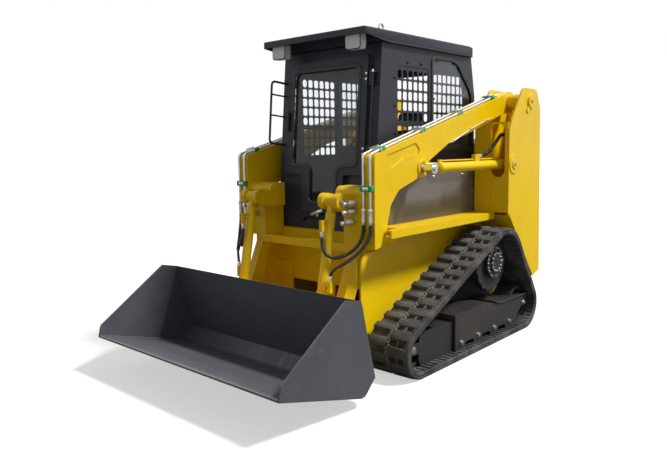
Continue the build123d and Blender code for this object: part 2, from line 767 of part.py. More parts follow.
with BuildPart() as cab_roof:
    outline([(roof_rear - 60, cab_eave), (visor_slope_end, cab_eave), (roof_front, roof_top - visor_edge),
             (roof_front, roof_top), (roof_rear, roof_top), (roof_rear - 60, roof_top - 20)],
            -roof_half, roof_half)
    fillet(cab_roof.edges().filter_by(Axis.Z), 25)
    block(roof_rear + 20, cab_front_top_x - post_depth - 20, 40 - cab_half, cab_half - 40,
          cab_eave, roof_top - cab_skin, Mode.SUBTRACT)
    block(cab_front_top_x + 14, roof_front - cab_skin, cab_skin - roof_half, roof_half - cab_skin,
          cab_eave - 10, roof_top - cab_skin, Mode.SUBTRACT)
    fillet(cab_roof.faces().sort_by(Axis.Z)[-1].edges(), 10)
write(cab_roof, "cab_roof")

with BuildPart() as cab_floor:
    block(cab_rear_low_x, cab_front_x(cab_floor_z), -cab_in, cab_in, cab_floor_z - floor_plate, cab_floor_z)
write(cab_floor, "cab_floor")

with BuildPart() as operator_seat:
    block(-700, -330, -seat_half + 50, seat_half - 50, cab_floor_z, cab_floor_z + 130)
    outline([(-770, cab_floor_z + 130), (-260, cab_floor_z + 130), (-260, cab_floor_z + 270),
             (-640, cab_floor_z + 290), (-690, cab_floor_z + 810), (-800, cab_floor_z + 810)],
            -seat_half, seat_half, rounds=[((-260, cab_floor_z + 270), 50), ((-690, cab_floor_z + 810), 40),
                                           ((-800, cab_floor_z + 810), 40), ((-640, cab_floor_z + 290), 60)])
    fillet(operator_seat.edges().filter_by(Axis.Z).group_by(Axis.X)[-1], 20)
write(operator_seat, "operator_seat")


# ---- Engine cover and rear door ----
rear_plane = Plane(origin=(hood_rear, 0, 0), x_dir=(0, -1, 0), z_dir=(-1, 0, 0))
with BuildPart() as engine_hood:
    with BuildSketch(Plane.YZ.offset(hood_rear)) as hood_section:
        with BuildLine():
            Polyline((-hood_half, deck_z), (-hood_half, hood_top - 60), (-hood_half + 90, hood_top),
                     (hood_half - 90, hood_top), (hood_half, hood_top - 60), (hood_half, deck_z), close=True)
        make_face()
        fillet(hood_section.vertices().group_by(Axis.Y)[-1], 60)
        fillet(hood_section.vertices().group_by(Axis.Y)[1], 20)
    extrude(hood_section.sketch, amount=hood_front - hood_rear)
    block(hood_rear, hood_front - 12, -hood_half + 14, hood_half - 14, deck_z, hood_top - 90, Mode.SUBTRACT)
    hinge_pins(rear_plane, -rear_hinge_y, rear_hinge_z)
write(engine_hood, "engine_hood")

with BuildPart() as rear_door:
    door_face = hood_rear - move_gap - rear_door_thick
    block(door_face, hood_rear - move_gap, -rear_door_half, rear_door_half, rear_door_low, rear_door_high)
    fillet(rear_door.edges().filter_by(Axis.X).group_by(Axis.Z)[-1], 40)
    fillet(rear_door.faces().sort_by(Axis.X)[0].edges(), 8)
    for row in range(vent_rows):
        z = vent_low_z + row * vent_pitch
        block(door_face, door_face + 18, -vent_half, vent_half, z, z + vent_high, Mode.SUBTRACT)
    hinge_knuckles(rear_plane, -rear_hinge_y, rear_hinge_z, -rear_door_half)
write(rear_door, "rear_door")

# ---- Lift arms, their bracket and legs ----
arm_top_rear = (pivot[0], pivot[1] + arm_rear_radius)
arm_top_front = (arm_front, arm_top_z)
arm_foot = (418.0, arm_foot_z + 16)
arm_under = [(387.0, 926.0), (345.0, 1075.0), (260.0, 1162.0), (40.0, 1227.0), (-89.0, 1339.0),
             (-324.0, 1449.0), (-592.0, 1518.0), (-1122.0, 1672.0)]
arm_rounds = [(arm_top_front, 35), (arm_foot, 28), (arm_under[1], 70), (arm_under[2], 70), (arm_under[3], 60),
              (arm_under[4], 70), (arm_under[5], 200), (arm_under[6], 200)]
recess = [(379.0, 1382.0), (73.0, 1453.0), (29.0, 1412.0), (51.0, 1375.0), (199.0, 1366.0), (334.0, 1299.0),
          (379.0, 1317.0)]
leg = [(column_front, arm_foot_z + 11), (column_front, beam_z[0]), (614.0, 512.0), (762.0, 240.0),
       (757.0, 175.0), (657.0, 180.0), (488.0, 538.0), (412.0, beam_z[0] + 4), (412.0, arm_foot_z + 11)]


def lift_arm(sign):
    lug_from = tilt_y - tilt_lug_gap - tilt_lug_width
    lug_to = tilt_y + tilt_lug_gap
    with BuildPart() as arm:
        outline([arm_top_front, (arm_front, arm_foot_z), arm_foot, *arm_under,
                 (pivot[0], pivot[1] - arm_rear_radius), arm_top_rear], arm_in, arm_out, rounds=arm_rounds)
        round_bar(pivot, arm_rear_radius, arm_in, arm_out)
        round_bar(arm_lug, arm_lug_radius, arm_in, arm_out)
        outline(recess, arm_out - arm_recess, arm_out, Mode.SUBTRACT, corner=14)
        round_bar(pivot, arm_hub_radius, upright_in + plate + 1, arm_in)
        round_bar(pivot, arm_hub_radius, arm_out, upright_out - plate - 1)
        round_bar(pivot, pivot_pin + pin_fit, upright_in, upright_out, Mode.SUBTRACT)
        outline([(column_rear, bracket_z[0]), (bracket_rear, bracket_z[0]), (bracket_rear, bracket_z[1]),
                 (column_front, bracket_z[1]), leg[0], (column_rear, leg[0][1])], column_in, arm_in,
                rounds=[((column_front, bracket_z[1]), bracket_round)])
        outline([(bracket_rear, bracket_z[0]), (column_front, bracket_z[0]), (column_front, bracket_z[1]),
                 (bracket_rear, bracket_z[1])], bracket_in, column_in,
                rounds=[((column_front, bracket_z[1]), bracket_round)])
        for start in (lug_from, lug_to):
            link(tilt_top, (column_front - 30, bracket_z[0] + 50), tilt_lug, start, start + tilt_lug_width)
        round_bar(tilt_top, tilt_pin, lug_from, lug_to + tilt_lug_width)
        outline(leg, leg_in, leg_out, rounds=[(leg[2], 200), (leg[6], 200)])
        block(*beam_x, column_in, leg_in, *beam_z)
        round_bar(tilt_pivot, leg_radius, leg_in, leg_out)
        round_bar(tilt_pivot, tilt_pin, ear_inner - 4, ear_outer + ear_plate + 4)
        if sign < 0:
            mirror(about=Plane.XZ, mode=Mode.REPLACE)
    write(arm, f"lift_arm_{at_side(sign)}")


for side in (1, -1):
    lift_arm(side)

with BuildPart() as arm_cross_beam:
    block(*beam_x, -column_in, column_in, *beam_z)
write(arm_cross_beam, "arm_cross_beam")


# ---- Cylinders ----
def tube(foot, head, y_middle, radius, start, finish, rod_radius):
    """A cylinder's tube with a closed end and a gland that the rod runs in."""
    bore = radius - tube_wall
    along(foot, head, radius, start, finish, y_middle)
    along(foot, head, bore, start + tube_wall * 2, finish - gland, y_middle, Mode.SUBTRACT)
    along(foot, head, radius + 4, finish - gland, finish - 8, y_middle)
    along(foot, head, rod_radius + pin_fit, finish - gland, finish, y_middle, Mode.SUBTRACT)


def rod(foot, head, y_middle, tube_radius, rod_radius, piston_at, eye_radius, eye_half):
    """A piston rod with its eye at head and its piston inside the tube."""
    reach = length_between(foot, head)
    along(foot, head, rod_radius, piston_at, reach - eye_radius + 6, y_middle)
    along(foot, head, tube_radius - tube_wall - pin_fit, piston_at, piston_at + 30, y_middle)
    round_bar(head, eye_radius, y_middle - eye_half, y_middle + eye_half)


with BuildPart() as tilt_cylinder_barrels:
    stub = 60.0
    x, y, z = upper_port
    round_bar(tilt_top, tilt_eye_radius, tilt_y - tilt_lug_gap + side_gap, tilt_y + tilt_lug_gap - side_gap)
    link(tilt_top, beside(tilt_top, tilt_eye, tilt_tube_top + 10), 20, tilt_y - 18, tilt_y + 18)
    tube(tilt_top, tilt_eye, tilt_y, tilt_tube, tilt_tube_top, tilt_tube_end, tilt_rod)
    round_bar(tilt_top, tilt_pin + pin_fit, tilt_y - tilt_lug_gap, tilt_y + tilt_lug_gap, Mode.SUBTRACT)
    block(x - 11, x + 11, y - 11, y + 11, z, z + stub + 10)
    block(x - 46, x, y - 9, y + 9, z + stub - 9, z + stub + 9)
    x, y, z = lower_port
    block(x - 11, x + 11, y - 11, y + 11, z - stub - 10, z)
    block(x - 9, x + 9, y - 34, y, z - stub - 9, z - stub + 9)
    mirrored()
write(tilt_cylinder_barrels, "tilt_cylinder_barrels")

with BuildPart() as tilt_cylinder_rods:
    rod(tilt_top, tilt_eye, tilt_y, tilt_tube, tilt_rod, tilt_piston, tilt_eye_radius, tilt_eye_half)
    round_bar(tilt_eye, tilt_pin, tilt_y - 26, tilt_y + 26)
    mirrored()
write(tilt_cylinder_rods, "tilt_cylinder_rods")

with BuildPart() as lift_cylinder_barrels:
    round_bar(lift_foot, lift_eye_radius + 2, lift_y - lift_eye_half, lift_y + lift_eye_half)
    tube(lift_foot, arm_lug, lift_y, lift_tube, lift_pin + 16, lift_tube_end, lift_rod)
    round_bar(lift_foot, lift_pin + pin_fit, lift_y - lift_eye_half, lift_y + lift_eye_half, Mode.SUBTRACT)
    along(lift_foot, arm_lug, line_radius, *line_posts, lift_y, height=line_height)
    post_foot = lift_tube - 3
    for post in line_posts:
        slab_beside(lift_foot, arm_lug, (post - 9, post + 9), (post_foot, line_height + line_radius + 3),
                    lift_y - 9, lift_y + 9)
    slab_beside(lift_foot, arm_lug, port_block, (post_foot, port_height), lift_y - 15, lift_y + 15)
    mirrored()
write(lift_cylinder_barrels, "lift_cylinder_barrels")

with BuildPart() as lift_cylinder_rods:
    rod(lift_foot, arm_lug, lift_y, lift_tube, lift_rod, lift_piston, lift_eye_radius, lift_eye_half)
    round_bar(arm_lug, lift_pin, arm_out + 2, lift_y + lift_eye_half + 12)
    mirrored()
write(lift_cylinder_rods, "lift_cylinder_rods")


# ---- Bucket and the quick-attach frame behind it ----
def rolled(point):
    """A point of the bucket's own side view, about its heel, turned into the machine's."""
    turn = radians(bucket_roll)
    x, z = point
    return (bucket_heel[0] + x * cos(turn) - z * sin(turn), bucket_heel[1] + x * sin(turn) + z * cos(turn))


def rolled_outline(points, y_from, y_to, mode=Mode.ADD, rounds=()):
    outline([rolled(point) for point in points], y_from, y_to, mode, rounds=rounds)


back_run = (bucket_top[0] - bucket_back[0], bucket_top[1] - bucket_back[1])
back_length = hypot(*back_run)
back_way = (back_run[0] / back_length, back_run[1] / back_length)


def on_back(height, depth):
    """A point behind the bucket's back plate: height along it from its foot, depth behind it."""
    return (bucket_back[0] + back_way[0] * height - back_way[1] * depth,
            bucket_back[1] + back_way[1] * height + back_way[0] * depth)


with BuildPart() as bucket:
    rolled_outline([(0, 0), bucket_lip, bucket_side_front, bucket_side_top, bucket_top, bucket_back],
                   -bucket_half, bucket_half, rounds=[(bucket_heel, heel_round), (rolled(bucket_side_front), 30)])
    far = 1000.0
    rise = (far - bucket_top[1]) / back_way[1]
    with BuildSketch(Plane.XZ.offset(bucket_half - bucket_side)) as hollow:
        with BuildLine():
            Polyline(rolled((0, 0)), rolled((far, 0)), rolled((far, far)),
                     rolled((bucket_top[0] + back_way[0] * rise, far)), rolled(bucket_back), close=True)
        make_face()
        offset(amount=-bucket_skin, kind=Kind.INTERSECTION)
        fillet(hollow.vertices().sort_by_distance((*bucket_heel, 0))[0], heel_round - bucket_skin)
    extrude(hollow.sketch, amount=2 * (bucket_side - bucket_half), mode=Mode.SUBTRACT)
    rolled_outline([(bucket_lip[0] - 150, bucket_skin), (bucket_lip[0] - 150, bucket_skin + 8),
                    (bucket_lip[0] - 30, bucket_skin + 8), (bucket_lip[0] - 12, bucket_skin)],
                   bucket_side - bucket_half, bucket_half - bucket_side)
write(bucket, "bucket")

with BuildPart() as quick_attach:
    rolled_outline([on_back(12, 0), on_back(back_length - 10, 0), on_back(back_length - 10, attach_plate),
                    on_back(12, attach_plate)], -attach_half, attach_half)
    rolled_outline([on_back(150, 0), on_back(330, 0), on_back(330, attach_plate), on_back(150, attach_plate)],
                   -230, 230, Mode.SUBTRACT)
    for ear_from in (ear_inner, ear_outer):
        with BuildSketch(Plane.XZ.offset(-ear_from)) as ear:
            with BuildLine():
                Polyline(rolled(on_back(10, 2)), rolled(on_back(330, 2)), tilt_eye, tilt_pivot, close=True)
            make_face()
            with Locations(tilt_eye, tilt_pivot):
                Circle(44)
        extrude(ear.sketch, amount=-ear_plate)
        round_bar(tilt_pivot, tilt_pin + pin_fit, ear_from, ear_from + ear_plate, Mode.SUBTRACT)
    mirrored()
write(quick_attach, "quick_attach")


# ---- Glass, lamps and other fittings of the cab ----
with BuildPart() as side_windows:
    glass_in = cab_half - cab_skin / 2 - pane / 2
    (x_a, z_a), (x_b, z_b), (x_c, z_c), (x_d, z_d), (x_e, z_e) = rear_window
    outline([(x_a - seam, z_a + seam), (x_b - seam, z_b - seam), (x_c + seam / 2, z_c - seam),
             (x_d + seam, z_d - seam / 2), (x_e + seam, z_e + seam)], glass_in, glass_in + pane,
            rounds=window_rounds)
    mirrored()
write(side_windows, "side_windows")

with BuildPart() as work_lamps:
    block(lamp_face - 50, lamp_face, lamp_y - lamp_half, lamp_y + lamp_half, *lamp_z)
    fillet(work_lamps.edges().filter_by(Axis.X), 20)
    block(lamp_face - 40, lamp_face - 15, lamp_y - 12, lamp_y + 12, lamp_z[1], roof_top - cab_skin)
    mirrored()
write(work_lamps, "work_lamps")

with BuildPart() as lifting_eyes:
    with Locations((eye_x, eye_y, roof_top + 4)):
        Cylinder(16, 8)
    eye_middle = (eye_x, roof_top + 8 + eye_ring)
    round_bar(eye_middle, eye_ring + eye_wire, eye_y - eye_wire, eye_y + eye_wire)
    round_bar(eye_middle, eye_ring, eye_y - eye_wire, eye_y + eye_wire, Mode.SUBTRACT)
    mirrored()
write(lifting_eyes, "lifting_eyes")

with BuildPart() as grab_rail:
    rail_plane = Plane(origin=front_plane.origin + (0, rail_y, 0), x_dir=front_plane.z_dir, z_dir=(0, -1, 0))
    low, high = on_front(rail_z[0]), on_front(rail_z[1])
    with BuildLine(rail_plane) as rail_path:
        FilletPolyline((0, high), (rail_reach, high), (rail_reach, low), (0, low), radius=30)
    rail_end = Plane(origin=rail_plane.from_local_coords((0, high, 0)), z_dir=rail_plane.x_dir)
    with BuildSketch(rail_end) as rail_section:
        Circle(rail_tube)
    sweep(rail_section.sketch, path=rail_path.line)
    for z in rail_rungs:
        foot = rail_plane.from_local_coords((0, on_front(z), 0))
        with BuildSketch(Plane(origin=foot, z_dir=rail_plane.x_dir)) as rung_section:
            Circle(rail_tube * 0.75)
        extrude(rung_section.sketch, amount=rail_reach)
write(grab_rail, "grab_rail")

with BuildPart() as control_consoles:
    middle_y = cab_half - 40 - console_width / 2
    outline([(-560, cab_floor_z), (-160, cab_floor_z), (-160, console_top - 60), (-230, console_top),
             (-560, console_top)], middle_y - console_width / 2, middle_y + console_width / 2,
            rounds=[((-160, console_top - 60), 20), ((-230, console_top), 30)])
    with Locations((-280, middle_y, (console_top + lever_z) / 2)):
        Cylinder(12, lever_z - console_top)
    with Locations((-280, middle_y, lever_z)):
        Sphere(24)
    mirrored()
write(control_consoles, "control_consoles")


# ---- Hydraulic pipes, couplers and hoses ----
pipe_rear = beside(arm_top_rear, arm_top_front, (pipe_rear_x - pivot[0]) / cos(
    atan2(arm_top_front[1] - arm_top_rear[1], arm_top_front[0] - arm_top_rear[0])))
arm_run = length_between(pipe_rear, arm_top_front)
front_x = arm_front + pipe_lift
with BuildPart() as arm_pipes:
    high = beside(pipe_rear, arm_top_front, 0, pipe_lift)
    corner = (front_x, beside(pipe_rear, arm_top_front, arm_run, pipe_lift)[1] - 4)
    for row in pipe_rows:
        with BuildLine() as pipe_path:
            FilletPolyline((high[0], row, high[1]), (corner[0], row, corner[1]), (front_x, row, pipe_end_z),
                           radius=30)
        way = (corner[0] - high[0], 0, corner[1] - high[1])
        with BuildSketch(Plane(origin=(high[0], row, high[1]), z_dir=way)) as pipe_section:
            Circle(pipe)
        sweep(pipe_section.sketch, path=pipe_path.line)
        with Locations((front_x, row, pipe_end_z + 22)):
            Cylinder(12, 44)
    for share in clamp_share:
        slab_beside(pipe_rear, arm_top_front, (arm_run * share - clamp_half, arm_run * share + clamp_half),
                    (0, clamp_high), pipe_rows[0] - 18, pipe_rows[1] + 18)
    block(arm_front, arm_front + clamp_high, pipe_rows[0] - 18, pipe_rows[1] + 18,
          bracket_z[1] - 24, bracket_z[1] + 10)
    mirrored()
write(arm_pipes, "arm_pipes")

with BuildPart() as aux_couplers:
    for y, z in coupler_places:
        with BuildSketch(Plane.YZ.offset(column_front)) as coupler_section:
            with Locations((y, z)):
                Circle(12)
        extrude(coupler_section.sketch, amount=110)
        with BuildSketch(Plane.YZ.offset(column_front + 40)) as collar_section:
            with Locations((y, z)):
                RegularPolygon(17, 6)
        extrude(collar_section.sketch, amount=45)
write(aux_couplers, "aux_couplers")

hose_start_z = pipe_end_z - 1.5     # clear of the pipes' fittings as the cylinders swing
upper_hose = [
    (front_x, pipe_rows[0], hose_start_z), (front_x, pipe_rows[0], 925), (538, 535, 858), (572, 505, 805),
    (612, 467, 775), (657, 434, 763), (697, 401, 780), (707, 376, 822), (upper_port[0], upper_port[1], 865),
    upper_port,
]
lower_hose = [
    (front_x, pipe_rows[1], hose_start_z), (front_x, pipe_rows[1], 925), (540, 588, 858), (576, 555, 800),
    (618, 517, 757), (655, 481, 727), (686, 446, 702), (lower_port[0], lower_port[1], 662), lower_port,
]


def hose_run(points, name, sign):
    """A hose as straight runs joined by arcs as large as the runs allow."""
    places = [Vector(x, sign * y, z) for x, y, z in points]
    radii = []
    for before, here, after in zip(places, places[1:], places[2:]):
        turn = (here - before).get_angle(after - here)
        shorter = min((here - before).length, (after - here).length)
        radii.append(0.45 * shorter / tan_of(turn / 2))
    with BuildPart() as run:
        with BuildLine() as path:
            FilletPolyline(*places, radius=radii)
        with BuildSketch(Plane(origin=places[0], z_dir=places[1] - places[0])) as section:
            Circle(hose)
        sweep(section.sketch, path=path.line)
    write(run, name)


for side in (1, -1):
    hose_run(upper_hose, f"upper_hose_{at_side(side)}", side)
    hose_run(lower_hose, f"lower_hose_{at_side(side)}", side)
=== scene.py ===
"""Finishes, tracks, grilles, hoses, fittings and the stage of a compact track loader."""

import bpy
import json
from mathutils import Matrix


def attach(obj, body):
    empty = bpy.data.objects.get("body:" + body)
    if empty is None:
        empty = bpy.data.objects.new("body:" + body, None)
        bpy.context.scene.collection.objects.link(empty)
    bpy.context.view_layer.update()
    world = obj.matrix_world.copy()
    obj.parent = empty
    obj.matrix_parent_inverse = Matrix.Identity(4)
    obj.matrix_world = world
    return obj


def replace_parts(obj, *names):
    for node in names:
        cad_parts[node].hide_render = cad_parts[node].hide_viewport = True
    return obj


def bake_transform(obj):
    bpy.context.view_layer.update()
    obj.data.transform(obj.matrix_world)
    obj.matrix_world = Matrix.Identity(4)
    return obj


bl_info = {
    "name": "Compact track loader",
    "version": (1, 0, 0),
    "blender": (4, 5, 0),
    "location": "3D View > Sidebar > Loader",
    "description": "Dresses the packed frame of a compact track loader and stages it",
    "category": "Object",
}

import json
import math

import bmesh
import bpy
from mathutils import Matrix, Vector

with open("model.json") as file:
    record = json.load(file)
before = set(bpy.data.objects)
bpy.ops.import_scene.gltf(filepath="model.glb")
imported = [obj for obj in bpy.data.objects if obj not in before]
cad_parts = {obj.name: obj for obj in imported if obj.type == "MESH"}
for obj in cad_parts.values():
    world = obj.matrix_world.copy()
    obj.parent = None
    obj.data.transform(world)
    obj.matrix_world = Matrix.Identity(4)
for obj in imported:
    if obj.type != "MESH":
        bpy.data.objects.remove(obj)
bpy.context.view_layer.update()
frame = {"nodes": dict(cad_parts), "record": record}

MM = 0.001
SIDES = (("left", 1), ("right", -1))


# ---- Sizes and colours that a user would change ----
class LoaderFinish(bpy.types.PropertyGroup):
    """Colours of the machine's finishes"""

    paint: bpy.props.FloatVectorProperty(
        name="Paint", description="Yellow of the arms, uprights and frame",
        subtype="COLOR", size=3, min=0, max=1, default=(0.90, 0.60, 0.0))
    cab: bpy.props.FloatVectorProperty(
        name="Cab", description="Slate paint of the cab",
        subtype="COLOR", size=3, min=0, max=1, default=(0.036, 0.040, 0.054))
    bucket: bpy.props.FloatVectorProperty(
        name="Bucket", description="Grey paint of the bucket",
        subtype="COLOR", size=3, min=0, max=1, default=(0.078, 0.084, 0.100))
    panel: bpy.props.FloatVectorProperty(
        name="Side panels", description="Warm grey of the panels beside the cab",
        subtype="COLOR", size=3, min=0, max=1, default=(0.150, 0.145, 0.135))
    running_gear: bpy.props.FloatVectorProperty(
        name="Running gear", description="Dark paint of the track frames and wheels",
        subtype="COLOR", size=3, min=0, max=1, default=(0.016, 0.015, 0.017))
    # The track rubber is darker than the lugs' rubber: painted shade for the pockets between the lugs.
    rubber: bpy.props.FloatVectorProperty(
        name="Track rubber", description="Rubber of the tracks",
        subtype="COLOR", size=3, min=0, max=1, default=(0.016, 0.016, 0.018))
    clamp: bpy.props.FloatVectorProperty(
        name="Pipe clamps", description="Green plastic of the pipe clamps",
        subtype="COLOR", size=3, min=0, max=1, default=(0.02, 0.36, 0.12))
    wear: bpy.props.FloatProperty(
        name="Wear", description="How much the paint is rubbed and dusty",
        subtype="FACTOR", min=0, max=1, default=0.35)


class LoaderTracks(bpy.types.PropertyGroup):
    """Tread of the rubber tracks"""

    lug_count: bpy.props.IntProperty(
        name="Lug pitches", description="How many times the lugs repeat round a track",
        min=20, max=60, default=38)
    rib_count: bpy.props.IntProperty(
        name="Inner ribs", description="How many ribs stand round the inside of a track",
        min=40, max=120, default=90)
    tread_height: bpy.props.FloatProperty(
        name="Tread height", description="How far the lugs stand above the belt",
        unit="LENGTH", min=0.01, max=0.03, default=0.021)


class LoaderHoses(bpy.types.PropertyGroup):
    """Hoses of the tilt and lift cylinders"""

    diameter: bpy.props.FloatProperty(
        name="Hose diameter", description="Outside diameter of the hoses",
        unit="LENGTH", min=0.01, max=0.03, default=0.018)


class LoaderStage(bpy.types.PropertyGroup):
    """Camera, light and floor"""

    camera_place: bpy.props.FloatVectorProperty(
        name="Camera place", description="Where the camera stands",
        subtype="XYZ", unit="LENGTH", size=3, default=(3.540, 2.998, 1.450))
    camera_heading: bpy.props.FloatProperty(
        name="Camera heading", description="Turn of the view from -X towards -Y",
        subtype="ANGLE", default=math.radians(41.78))
    camera_pitch: bpy.props.FloatProperty(
        name="Camera pitch", description="How far the view looks down",
        subtype="ANGLE", default=math.radians(7.16))
    camera_roll: bpy.props.FloatProperty(
        name="Camera roll", description="Tilt of the horizon",
        subtype="ANGLE", default=math.radians(-0.86))
    camera_lens: bpy.props.FloatProperty(
        name="Camera lens", description="Focal length on a 36 mm sensor",
        subtype="DISTANCE_CAMERA", default=34.78)
    sun_strength: bpy.props.FloatProperty(
        name="Key light", description="Strength of the key light", min=0, default=4.0)
    sky_strength: bpy.props.FloatProperty(
        name="Fill light", description="Strength of the even fill light", min=0, default=0.28)
    floor_reach: bpy.props.FloatProperty(
        name="Floor reach", description="Half the floor's side",
        unit="LENGTH", min=1, default=30.0)


# ---- Finishes ----
BEVEL_SAMPLES = 4

# The colour sockets of a Mix node that mixes colours.
MIX_A, MIX_B, MIX_RESULT = 6, 7, 2

# What dust, wear and grime show.
EARTH = (0.30, 0.24, 0.17)
YELLOW_DUST = (0.42, 0.28, 0.03)
CHIPPED_PAINT = (0.075, 0.05, 0.035)
RUBBED_BUCKET = (0.19, 0.20, 0.215)
GRIME = (0.05, 0.048, 0.046)
RUBBER_BLOOM = (0.20, 0.19, 0.175)


class Finish:
    """A Principled material whose patterns read the piece's own place in the machine."""

    def __init__(self, name, colour, roughness, metallic=0.0, sockets=None):
        self.material = bpy.data.materials.new(name)
        self.material.use_nodes = True
        self.nodes = self.material.node_tree.nodes
        self.links = self.material.node_tree.links
        self.shader = self.nodes["Principled BSDF"]
        self.shader.inputs["Base Color"].default_value = (*colour, 1)
        self.shader.inputs["Roughness"].default_value = roughness
        self.shader.inputs["Metallic"].default_value = metallic
        for socket, value in (sockets or {}).items():
            self.shader.inputs[socket].default_value = value
        self.place = self.nodes.new("ShaderNodeTexCoord").outputs["Object"]

    def noise(self, scale, detail=3.0, roughness=0.5, stretch=(1, 1, 1), distortion=0.0):
        """Noise from 0 to 1 about 0.5, with a scale in turns a metre and a stretch for each axis."""
        mapping = self.nodes.new("ShaderNodeMapping")
        mapping.inputs["Scale"].default_value = stretch
        self.links.new(self.place, mapping.inputs["Vector"])
        noise = self.nodes.new("ShaderNodeTexNoise")
        noise.inputs["Scale"].default_value = scale
        noise.inputs["Detail"].default_value = detail
        noise.inputs["Roughness"].default_value = roughness
        noise.inputs["Distortion"].default_value = distortion
        self.links.new(mapping.outputs["Vector"], noise.inputs["Vector"])
        return noise.outputs["Fac"]

    def span(self, value, low, high, to_low=0.0, to_high=1.0):
        """The value's range from low to high, smoothly stretched to another and clamped."""
        span = self.nodes.new("ShaderNodeMapRange")
        span.interpolation_type = "SMOOTHSTEP"
        ends = {"From Min": low, "From Max": high, "To Min": to_low, "To Max": to_high}
        for socket, number in ends.items():
            span.inputs[socket].default_value = number
        self.links.new(value, span.inputs["Value"])
        return span.outputs["Result"]

    def times(self, first, second):
        """The product of two values, each an output or a number."""
        node = self.nodes.new("ShaderNodeMath")
        node.operation = "MULTIPLY"
        for socket, value in zip(node.inputs, (first, second)):
            if isinstance(value, (int, float)):
                socket.default_value = value
            else:
                self.links.new(value, socket)
        return node.outputs["Value"]

    def colour_mix(self, share, first, second):
        """Colour first where the share is 0 and second where it is 1."""
        mix = self.nodes.new("ShaderNodeMix")
        mix.data_type = "RGBA"
        self.links.new(share, mix.inputs["Factor"])
        for socket, colour in ((mix.inputs[MIX_A], first), (mix.inputs[MIX_B], second)):
            if isinstance(colour, bpy.types.NodeSocket):
                self.links.new(colour, socket)
            else:
                socket.default_value = (*colour, 1)
        return mix.outputs[MIX_RESULT]

    def height(self):
        """The height above the ground in metres."""
        split = self.nodes.new("ShaderNodeSeparateXYZ")
        self.links.new(self.place, split.inputs["Vector"])
        return split.outputs["Z"]

    def edges(self, radius):
        """A share that rises from 0 on flat faces to 1 on sharp edges."""
        bevel = self.nodes.new("ShaderNodeBevel")
        bevel.samples = BEVEL_SAMPLES
        bevel.inputs["Radius"].default_value = radius
        geometry = self.nodes.new("ShaderNodeNewGeometry")
        dot = self.nodes.new("ShaderNodeVectorMath")
        dot.operation = "DOT_PRODUCT"
        self.links.new(bevel.outputs["Normal"], dot.inputs[0])
        self.links.new(geometry.outputs["Normal"], dot.inputs[1])
        return self.span(dot.outputs["Value"], 1.0, 0.75)

    def colour(self, output):
        self.links.new(output, self.shader.inputs["Base Color"])

    def roughness(self, output):
        self.links.new(output, self.shader.inputs["Roughness"])

    def bump(self, height, distance, strength=1.0, edge_radius=0.0):
        """Relief from a height pattern, on edges rounded by a radius where one is given."""
        bump = self.nodes.new("ShaderNodeBump")
        bump.inputs["Distance"].default_value = distance
        bump.inputs["Strength"].default_value = strength
        self.links.new(height, bump.inputs["Height"])
        if edge_radius:
            bevel = self.nodes.new("ShaderNodeBevel")
            bevel.samples = BEVEL_SAMPLES
            bevel.inputs["Radius"].default_value = edge_radius
            self.links.new(bevel.outputs["Normal"], bump.inputs["Normal"])
        self.links.new(bump.outputs["Normal"], self.shader.inputs["Normal"])


def darker(colour, share):
    return tuple(channel * share for channel in colour)


def sprayed(name, colour, roughness, dust, dust_colour, coat, specular=0.5):
    """Sprayed steel: a faint orange peel, cloudy dust that gathers low down, and chipped edges."""
    finish = Finish(name, colour, roughness, sockets={
        "Coat Weight": coat, "Coat Roughness": 0.18, "Specular IOR Level": specular})
    cloud = finish.noise(3.2, detail=5, roughness=0.6)
    shade = finish.colour_mix(finish.span(cloud, 0.35, 0.7), colour, darker(colour, 0.93))
    low_down = finish.span(finish.height(), 1.1, 0.05, 0.25, 1.0)
    dusty = finish.times(finish.times(finish.span(cloud, 0.42, 0.72), low_down), dust)
    shade = finish.colour_mix(dusty, shade, dust_colour)
    flakes = finish.span(finish.noise(34, detail=5, roughness=0.7), 0.53, 0.6)
    chips = finish.times(finish.edges(0.006), flakes)
    shade = finish.colour_mix(finish.times(chips, 0.5), shade, CHIPPED_PAINT)
    scratches = finish.noise(26, detail=6, roughness=0.7, stretch=(1, 1, 0.45))
    scuffs = finish.span(scratches, 0.60, 0.72)
    shade = finish.colour_mix(finish.times(scuffs, 0.35 * dust), shade, darker(colour, 0.55))
    finish.colour(shade)
    finish.roughness(finish.span(finish.noise(46), 0.2, 0.8, roughness - 0.06, roughness + 0.1))
    finish.bump(finish.noise(210, detail=2), 0.0004, 0.35, 0.0025)
    return finish.material


def worn_bucket(paint):
    """Bucket paint, streaked and rubbed bright by the loads that slid along it."""
    finish = Finish("bucket_paint", paint, 0.5, sockets={"Coat Weight": 0.1, "Coat Roughness": 0.3})
    cloud = finish.noise(2.6, detail=6, roughness=0.62)
    streaks = finish.noise(9, detail=8, roughness=0.68, stretch=(0.35, 2.6, 0.6), distortion=0.6)
    shade = finish.colour_mix(finish.span(cloud, 0.3, 0.7), paint, darker(paint, 0.78))
    shade = finish.colour_mix(finish.span(streaks, 0.52, 0.74, 0, 0.32), shade, RUBBED_BUCKET)
    specks = finish.span(finish.noise(55, detail=4), 0.62, 0.7, 0, 0.35)
    finish.colour(finish.colour_mix(specks, shade, GRIME))
    finish.roughness(finish.span(streaks, 0.35, 0.75, 0.62, 0.38))
    finish.bump(finish.noise(120, detail=4), 0.0005, 0.4, 0.0025)
    return finish.material


